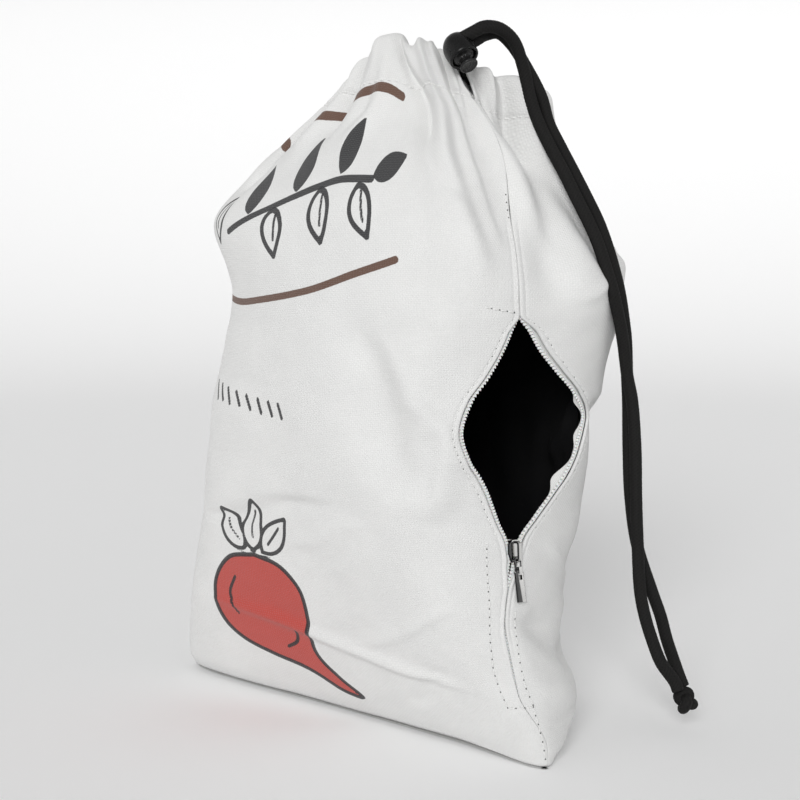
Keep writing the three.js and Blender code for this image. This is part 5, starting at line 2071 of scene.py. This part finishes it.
@dataclass
class CordLock:
    """Glossy push lock: a bell with an open skirt and a sprung, ribbed button.

    Args:
        centre: middle of the bell.
        exit: the way the strands leave it.
        up: the way the button moves in, from the button to the bell.
        face: third axis.
        sides: points in a ring of its parts.
    """

    centre: Place = (53.67, 3.60, 296.05)
    exit: Place = (0.5677, 0.6755, 0.4706)
    up: Place = (-0.6575, 0.0281, 0.7529)
    face: Place = (0.4954, -0.7368, 0.4601)
    sides: int = 72

    def place(self, points: Array) -> Array:
        """Points of the lock's own axes in the bag's space."""
        axes = np.array([self.exit, self.up, self.face])
        return np.array(self.centre) + points.reshape(-1, 3) @ axes

    def spot(self, x: float, y: float, z: float) -> Place:
        """One place of the lock in the bag's space."""
        return tuple(self.place(np.array([x, y, z]))[0])

    def bell(self, materials: Materials) -> None:
        """Make the bell, turned from one profile: dome, rolled skirt edge and cavity.

        Args:
            materials: the bag's materials.
        """
        dome = [(0.05, 6.75), (2.4, 6.35), (4.5, 5.05), (6.0, 2.9), (6.65, 0.4), (6.7, -2.2),
                (6.55, -4.6), (6.45, -5.7), (6.1, -6.15), (5.6, -6.0), (5.25, -5.4),
                (5.05, -3.6), (4.95, -2.3), (4.2, -1.75), (2.0, -1.7), (0.05, -1.7)]
        points, faces = lathe(soft_profile(dome, 0.35), self.sides)
        piece = mesh_object("lock_bell_shell", self.place(points), faces, materials.plastic)
        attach(piece, "bag")
        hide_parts("lock_bell")

    def plunger(self, materials: Materials) -> None:
        """Make the button, turned from one profile, with a cosine of ribs round its neck.

        Args:
            materials: the bag's materials.
        """
        line = soft_profile([(0.05, -4.5), (4.3, -4.5), (4.65, -4.8), (4.6, -5.3), (2.7, -5.9),
                             (2.35, -6.5), (2.35, -8.2), (3.1, -9.2), (3.9, -10.0),
                             (3.98, -10.5), (3.6, -10.9), (2.8, -10.75), (0.05, -10.6)], 0.22)
        points, faces = lathe(line, self.sides)
        angle = np.arange(self.sides) * 2 * math.pi / self.sides
        neck = np.exp(-(((points[..., 1] + 7.3) / 1.0) ** 2))
        rib = 1 + 0.10 * neck * np.cos(12 * angle)[None, :]
        points[..., 0] *= rib
        points[..., 2] *= rib
        piece = mesh_object("lock_button_body", self.place(points), faces, materials.button)
        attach(piece, "lock_button")
        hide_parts("lock_plunger")


@dataclass
class Knot:
    """Overhand knot that joins the two strands' ends.

    Args:
        centre: its middle.
        axis: the way the strands run into it.
        across: from one strand's end to the other's.
        reach: how far before the middle the strands end.
        gap: distance between their ends.
        wide: half of its width, as a share of its turns.
        tall: half of its length, as a share of its turns.
        deep: half of its depth.
    """

    centre: Place = (121.0, 78.5, 14.5)
    axis: Place = (0.324, 0.21, -0.924)
    across: Place = (0.28, -0.93, -0.11)
    reach: float = 5.8
    gap: float = 5.7
    wide: float = 1.15
    tall: float = 1.3
    deep: float = 1.9

    def axes(self) -> tuple[Array, Array, Array]:
        """The knot's own directions.

        Returns:
            Unit axis, across and the third direction.
        """
        axis = unit(np.array(self.axis))
        across = np.array(self.across)
        across = unit(across - axis * across.dot(axis))
        return axis, across, np.cross(axis, across)

    def strand_end(self, sign: int) -> list[Place]:
        """Last two points of a strand.

        Args:
            sign: 1 for the first strand, -1 for the second.

        Returns:
            The place before the knot, and the one at it.
        """
        axis, across, _ = self.axes()
        end = np.array(self.centre) - axis * self.reach + across * (sign * self.gap / 2)
        return [tuple(end - 4 * axis), tuple(end)]

    def build(self, materials: Materials) -> bpy.types.Object:
        """Make the knot: a fat cord on a trefoil, sines of one, two and three turns.

        Args:
            materials: the bag's materials.

        Returns:
            The piece.
        """
        axis, across, third = self.axes()
        turn = np.linspace(0, 2 * math.pi, 140)
        x = (np.sin(turn) + 2 * np.sin(2 * turn)) * self.wide
        y = (np.cos(turn) - 2 * np.cos(2 * turn)) * self.tall
        z = -np.sin(3 * turn) * self.deep
        line = (np.array(self.centre) + x[:, None] * across + y[:, None] * axis
                + z[:, None] * third)
        cord = BraidedCord(diameter=4.9, spacing=0.5, sides=28)
        points, faces, height, _ = cord.tube(line[::6])
        piece = mesh_object("cord_knot_turns", points, faces, materials.cord,
                            scalars={"braid": height})
        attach(piece, "bag")
        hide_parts("cord_knot")
        return piece


def bevelled(frame: dict, node: str, body: str, width: float, materials: Materials) -> None:
    """A metal part again with rounded edges, in place of its solid.

    Args:
        node: the solid.
        body: the body that it moves with.
        width: width of the rounding, in millimetres.
        materials: the bag's materials.
    """
    mesh = frame["nodes"][node].data.copy()
    mesh.name = f"{node}_metal"
    shape = bmesh.new()
    shape.from_mesh(mesh)
    bmesh.ops.remove_doubles(shape, verts=shape.verts, dist=1e-6)
    bmesh.ops.dissolve_limit(shape, angle_limit=math.radians(1.0), verts=shape.verts,
                             edges=shape.edges)
    bmesh.ops.recalc_face_normals(shape, faces=shape.faces)
    shape.to_mesh(mesh)
    shape.free()
    mesh.materials.clear()
    mesh.materials.append(materials.nickel)
    piece = bpy.data.objects.new(f"{node}_metal", mesh)
    bpy.context.scene.collection.objects.link(piece)
    bevel = piece.modifiers.new("edges", "BEVEL")
    bevel.width = width * MM
    bevel.segments = 3
    bevel.limit_method = "ANGLE"
    bevel.angle_limit = math.radians(28)
    apply_modifiers(piece)
    piece.data.shade_smooth()
    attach(piece, body)
    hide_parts(node)


# Places in the lock's own axes: a strand's start inside it and its way out, on the first side
STRAND_STARTS = ((2.6, 1.6, 2.85), (8.3, 1.6, 2.85))
# Places there where the drawcord leaves the lock and comes back to it
DRAWCORD_FIRST = ((-3.45, 1.6, -5.3), (-3.45, 1.6, -8.0))
DRAWCORD_LAST = ((2.25, 1.6, -8.0), (2.25, 1.6, -5.3))
# Share of the drawcord's radius that the gathers leave it in the casing
DRAWCORD_SQUEEZE = 0.45


class Cords:
    """The drawcord in its casing, its two strands, the lock and the knot."""

    def __init__(self, materials: Materials) -> None:
        """Set up the parts.

        Args:
            materials: the bag's materials.
        """
        self.materials = materials
        self.lock = CordLock()
        self.knot = Knot()
        self.braid = BraidedCord()

    def strand_route(self, sign: int, middle: Sequence[Place]) -> list[Place]:
        """Points of a strand from the lock to the knot.

        Args:
            sign: 1 for the first strand, -1 for the second.
            middle: places between.

        Returns:
            The route.
        """
        lead = [self.lock.spot(x, y, z * sign) for x, y, z in STRAND_STARTS]
        return [*lead, *middle, *self.knot.strand_end(sign)]

    def build(self) -> None:
        self.lock.bell(self.materials)
        self.lock.plunger(self.materials)
        knot = self.knot.build(self.materials)
        for sign, name, middle in ((1, "cord_strand_a", STRAND_A),
                                   (-1, "cord_strand_b", STRAND_B)):
            route = self.strand_route(sign, middle)
            piece, line = self.braid.build(f"{name}_braid", name, route, self.materials)
        self.drawcord()

    def drawcord(self) -> None:
        """Make the cord that runs round the casing and out of it into the lock."""
        places = np.concatenate([np.linspace((CASING_END_FRONT + 2) / GIRTH, 0.5, 140),
                                 np.linspace(0.5, 1 - (CASING_END_BACK + 2) / GIRTH, 140)[1:]])
        rise = np.full(len(places), 1 - 0.40 * CASING_DEPTH / RIM_HEIGHT)
        outer = casing_point(places, rise, np.zeros(len(places)))
        line = (outer + casing_point(places, rise, np.ones(len(places)))) / 2
        line[1:-1] = (line[:-2] + 2 * line[1:-1] + line[2:]) / 4
        first, last = ([self.lock.spot(*spot) for spot in spots]
                       for spots in (DRAWCORD_FIRST, DRAWCORD_LAST))
        route = [*first, *[tuple(p) for p in line], *last]
        self.braid.build("drawcord_braid", "drawcord", route, self.materials, DRAWCORD_SQUEEZE)


@dataclass
class Studio:
    """Pale floor, soft lights and the camera at the photograph's angle.

    Args:
        camera_place: where the camera stands, in metres.
        camera_tilt: its tilt from straight down, in degrees.
        camera_turn: its turn from the +Y way, in degrees.
        lens: its focal length.
        floor_reach: how far the floor goes, in millimetres.
        floor_rise: height of its far edge.
        aim: the place that lights face, in metres.
        fade: heights over the horizon where the air's light starts and ends to fade.
        air_light: its strength below and above.
        key_place: where the main light stands, in metres.
        key_spread: its width in degrees.
        key_power: its strength.
    """

    camera_place: Place = (0.5317, -0.4298, 0.2144)
    camera_tilt: float = 84.02
    camera_turn: float = 50.0
    lens: float = 67.5
    floor_reach: float = 3400.0
    floor_rise: float = 950.0
    aim: Place = (0.0, 0.0, 0.14)
    fade: tuple[float, float] = (0.15, 0.70)
    air_light: tuple[float, float] = (0.94, 0.42)
    key_place: Place = (0.62, -0.78, 0.58)
    key_spread: float = 24.0
    key_power: float = 1.72

    def floor(self) -> None:
        """Make the floor: a disc whose far edge rises all round in one soft curve."""
        rings, sides = 48, 72
        reach = np.linspace(0, 1, rings)[:, None] ** 1.3 * self.floor_reach + 0.5
        turn = np.arange(sides)[None, :] * 2 * math.pi / sides
        rise = self.floor_rise * smooth_step(1300, self.floor_reach, reach) ** 1.6 - 0.25
        grid = np.stack([reach * np.cos(turn), reach * np.sin(turn),
                         np.repeat(rise, sides, 1)], -1)
        nodes = Nodes("studio_floor")
        nodes.constants(Base_Color=(0.96, 0.96, 0.96), Roughness=0.9, Specular_IOR_Level=0.1)
        piece = mesh_object("studio_floor", grid, grid_faces(rings, sides, closed=True),
                            nodes.finish())

    def light(self, name: str, place: Place, spread: float, power: float) -> None:
        """Add a far, soft light that faces the bag.

        Args:
            name: its name.
            place: where it stands.
            spread: its width in degrees.
            power: its strength.
        """
        data = bpy.data.lights.new(name, "SUN")
        data.angle = math.radians(spread)
        data.energy = power
        lamp = bpy.data.objects.new(name, data)
        lamp.location = place
        aim = Vector(self.aim) - Vector(place)
        lamp.rotation_euler = aim.to_track_quat("-Z", "Y").to_euler()
        bpy.context.scene.collection.objects.link(lamp)

    def air(self, tree: bpy.types.NodeTree) -> None:
        """Soft light from all round, bright near the horizon and dimmer overhead.

        Args:
            tree: the world's nodes.
        """
        place = tree.nodes.new("ShaderNodeTexCoord")
        split = tree.nodes.new("ShaderNodeSeparateXYZ")
        fade = tree.nodes.new("ShaderNodeMapRange")
        tree.links.new(place.outputs["Generated"], split.inputs[0])
        tree.links.new(split.outputs["Z"], fade.inputs[0])
        for index, value in zip((1, 2, 3, 4), (*self.fade, *self.air_light)):
            fade.inputs[index].default_value = value
        tree.links.new(fade.outputs[0], tree.nodes["Background"].inputs["Strength"])
        tree.nodes["Background"].inputs["Color"].default_value = (1, 1, 1, 1)

    def build(self) -> None:
        """Add everything round the bag."""
        self.floor()
        world = bpy.data.worlds.new("studio_air")
        world.use_nodes = True
        self.air(world.node_tree)
        bpy.context.scene.world = world
        self.light("key", self.key_place, self.key_spread, self.key_power)
        data = bpy.data.cameras.new("photo_camera")
        data.lens = self.lens
        data.sensor_width = 36.0
        camera = bpy.data.objects.new("photo_camera", data)
        camera.location = self.camera_place
        camera.rotation_euler = (math.radians(self.camera_tilt), 0, math.radians(self.camera_turn))
        bpy.context.scene.collection.objects.link(camera)
        bpy.context.scene.camera = camera
        bpy.context.scene.view_settings.view_transform = "Standard"


def main() -> None:
    """Load the frame and build every piece in order."""
    logging.basicConfig(level=logging.INFO, format="%(message)s")
    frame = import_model()
    materials = Materials()
    Studio().build()
    Cords(materials).build()
    for side, name in ((1, "front"), (-1, "back")):
        Panel(side, f"{name}_panel").build(materials)
        Lining(side, f"lining_{name}").build(materials)
    Zipper().build(materials)
    Stitching().build(materials)
    bevelled(frame, "zip_slider", "bag", 0.3, materials)
    bevelled(frame, "zip_pull_ring", "zip_pull", 0.12, materials)
    bevelled(frame, "zip_pull_tab", "zip_pull", 0.45, materials)
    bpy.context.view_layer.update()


if __name__ == "__main__":
    main()
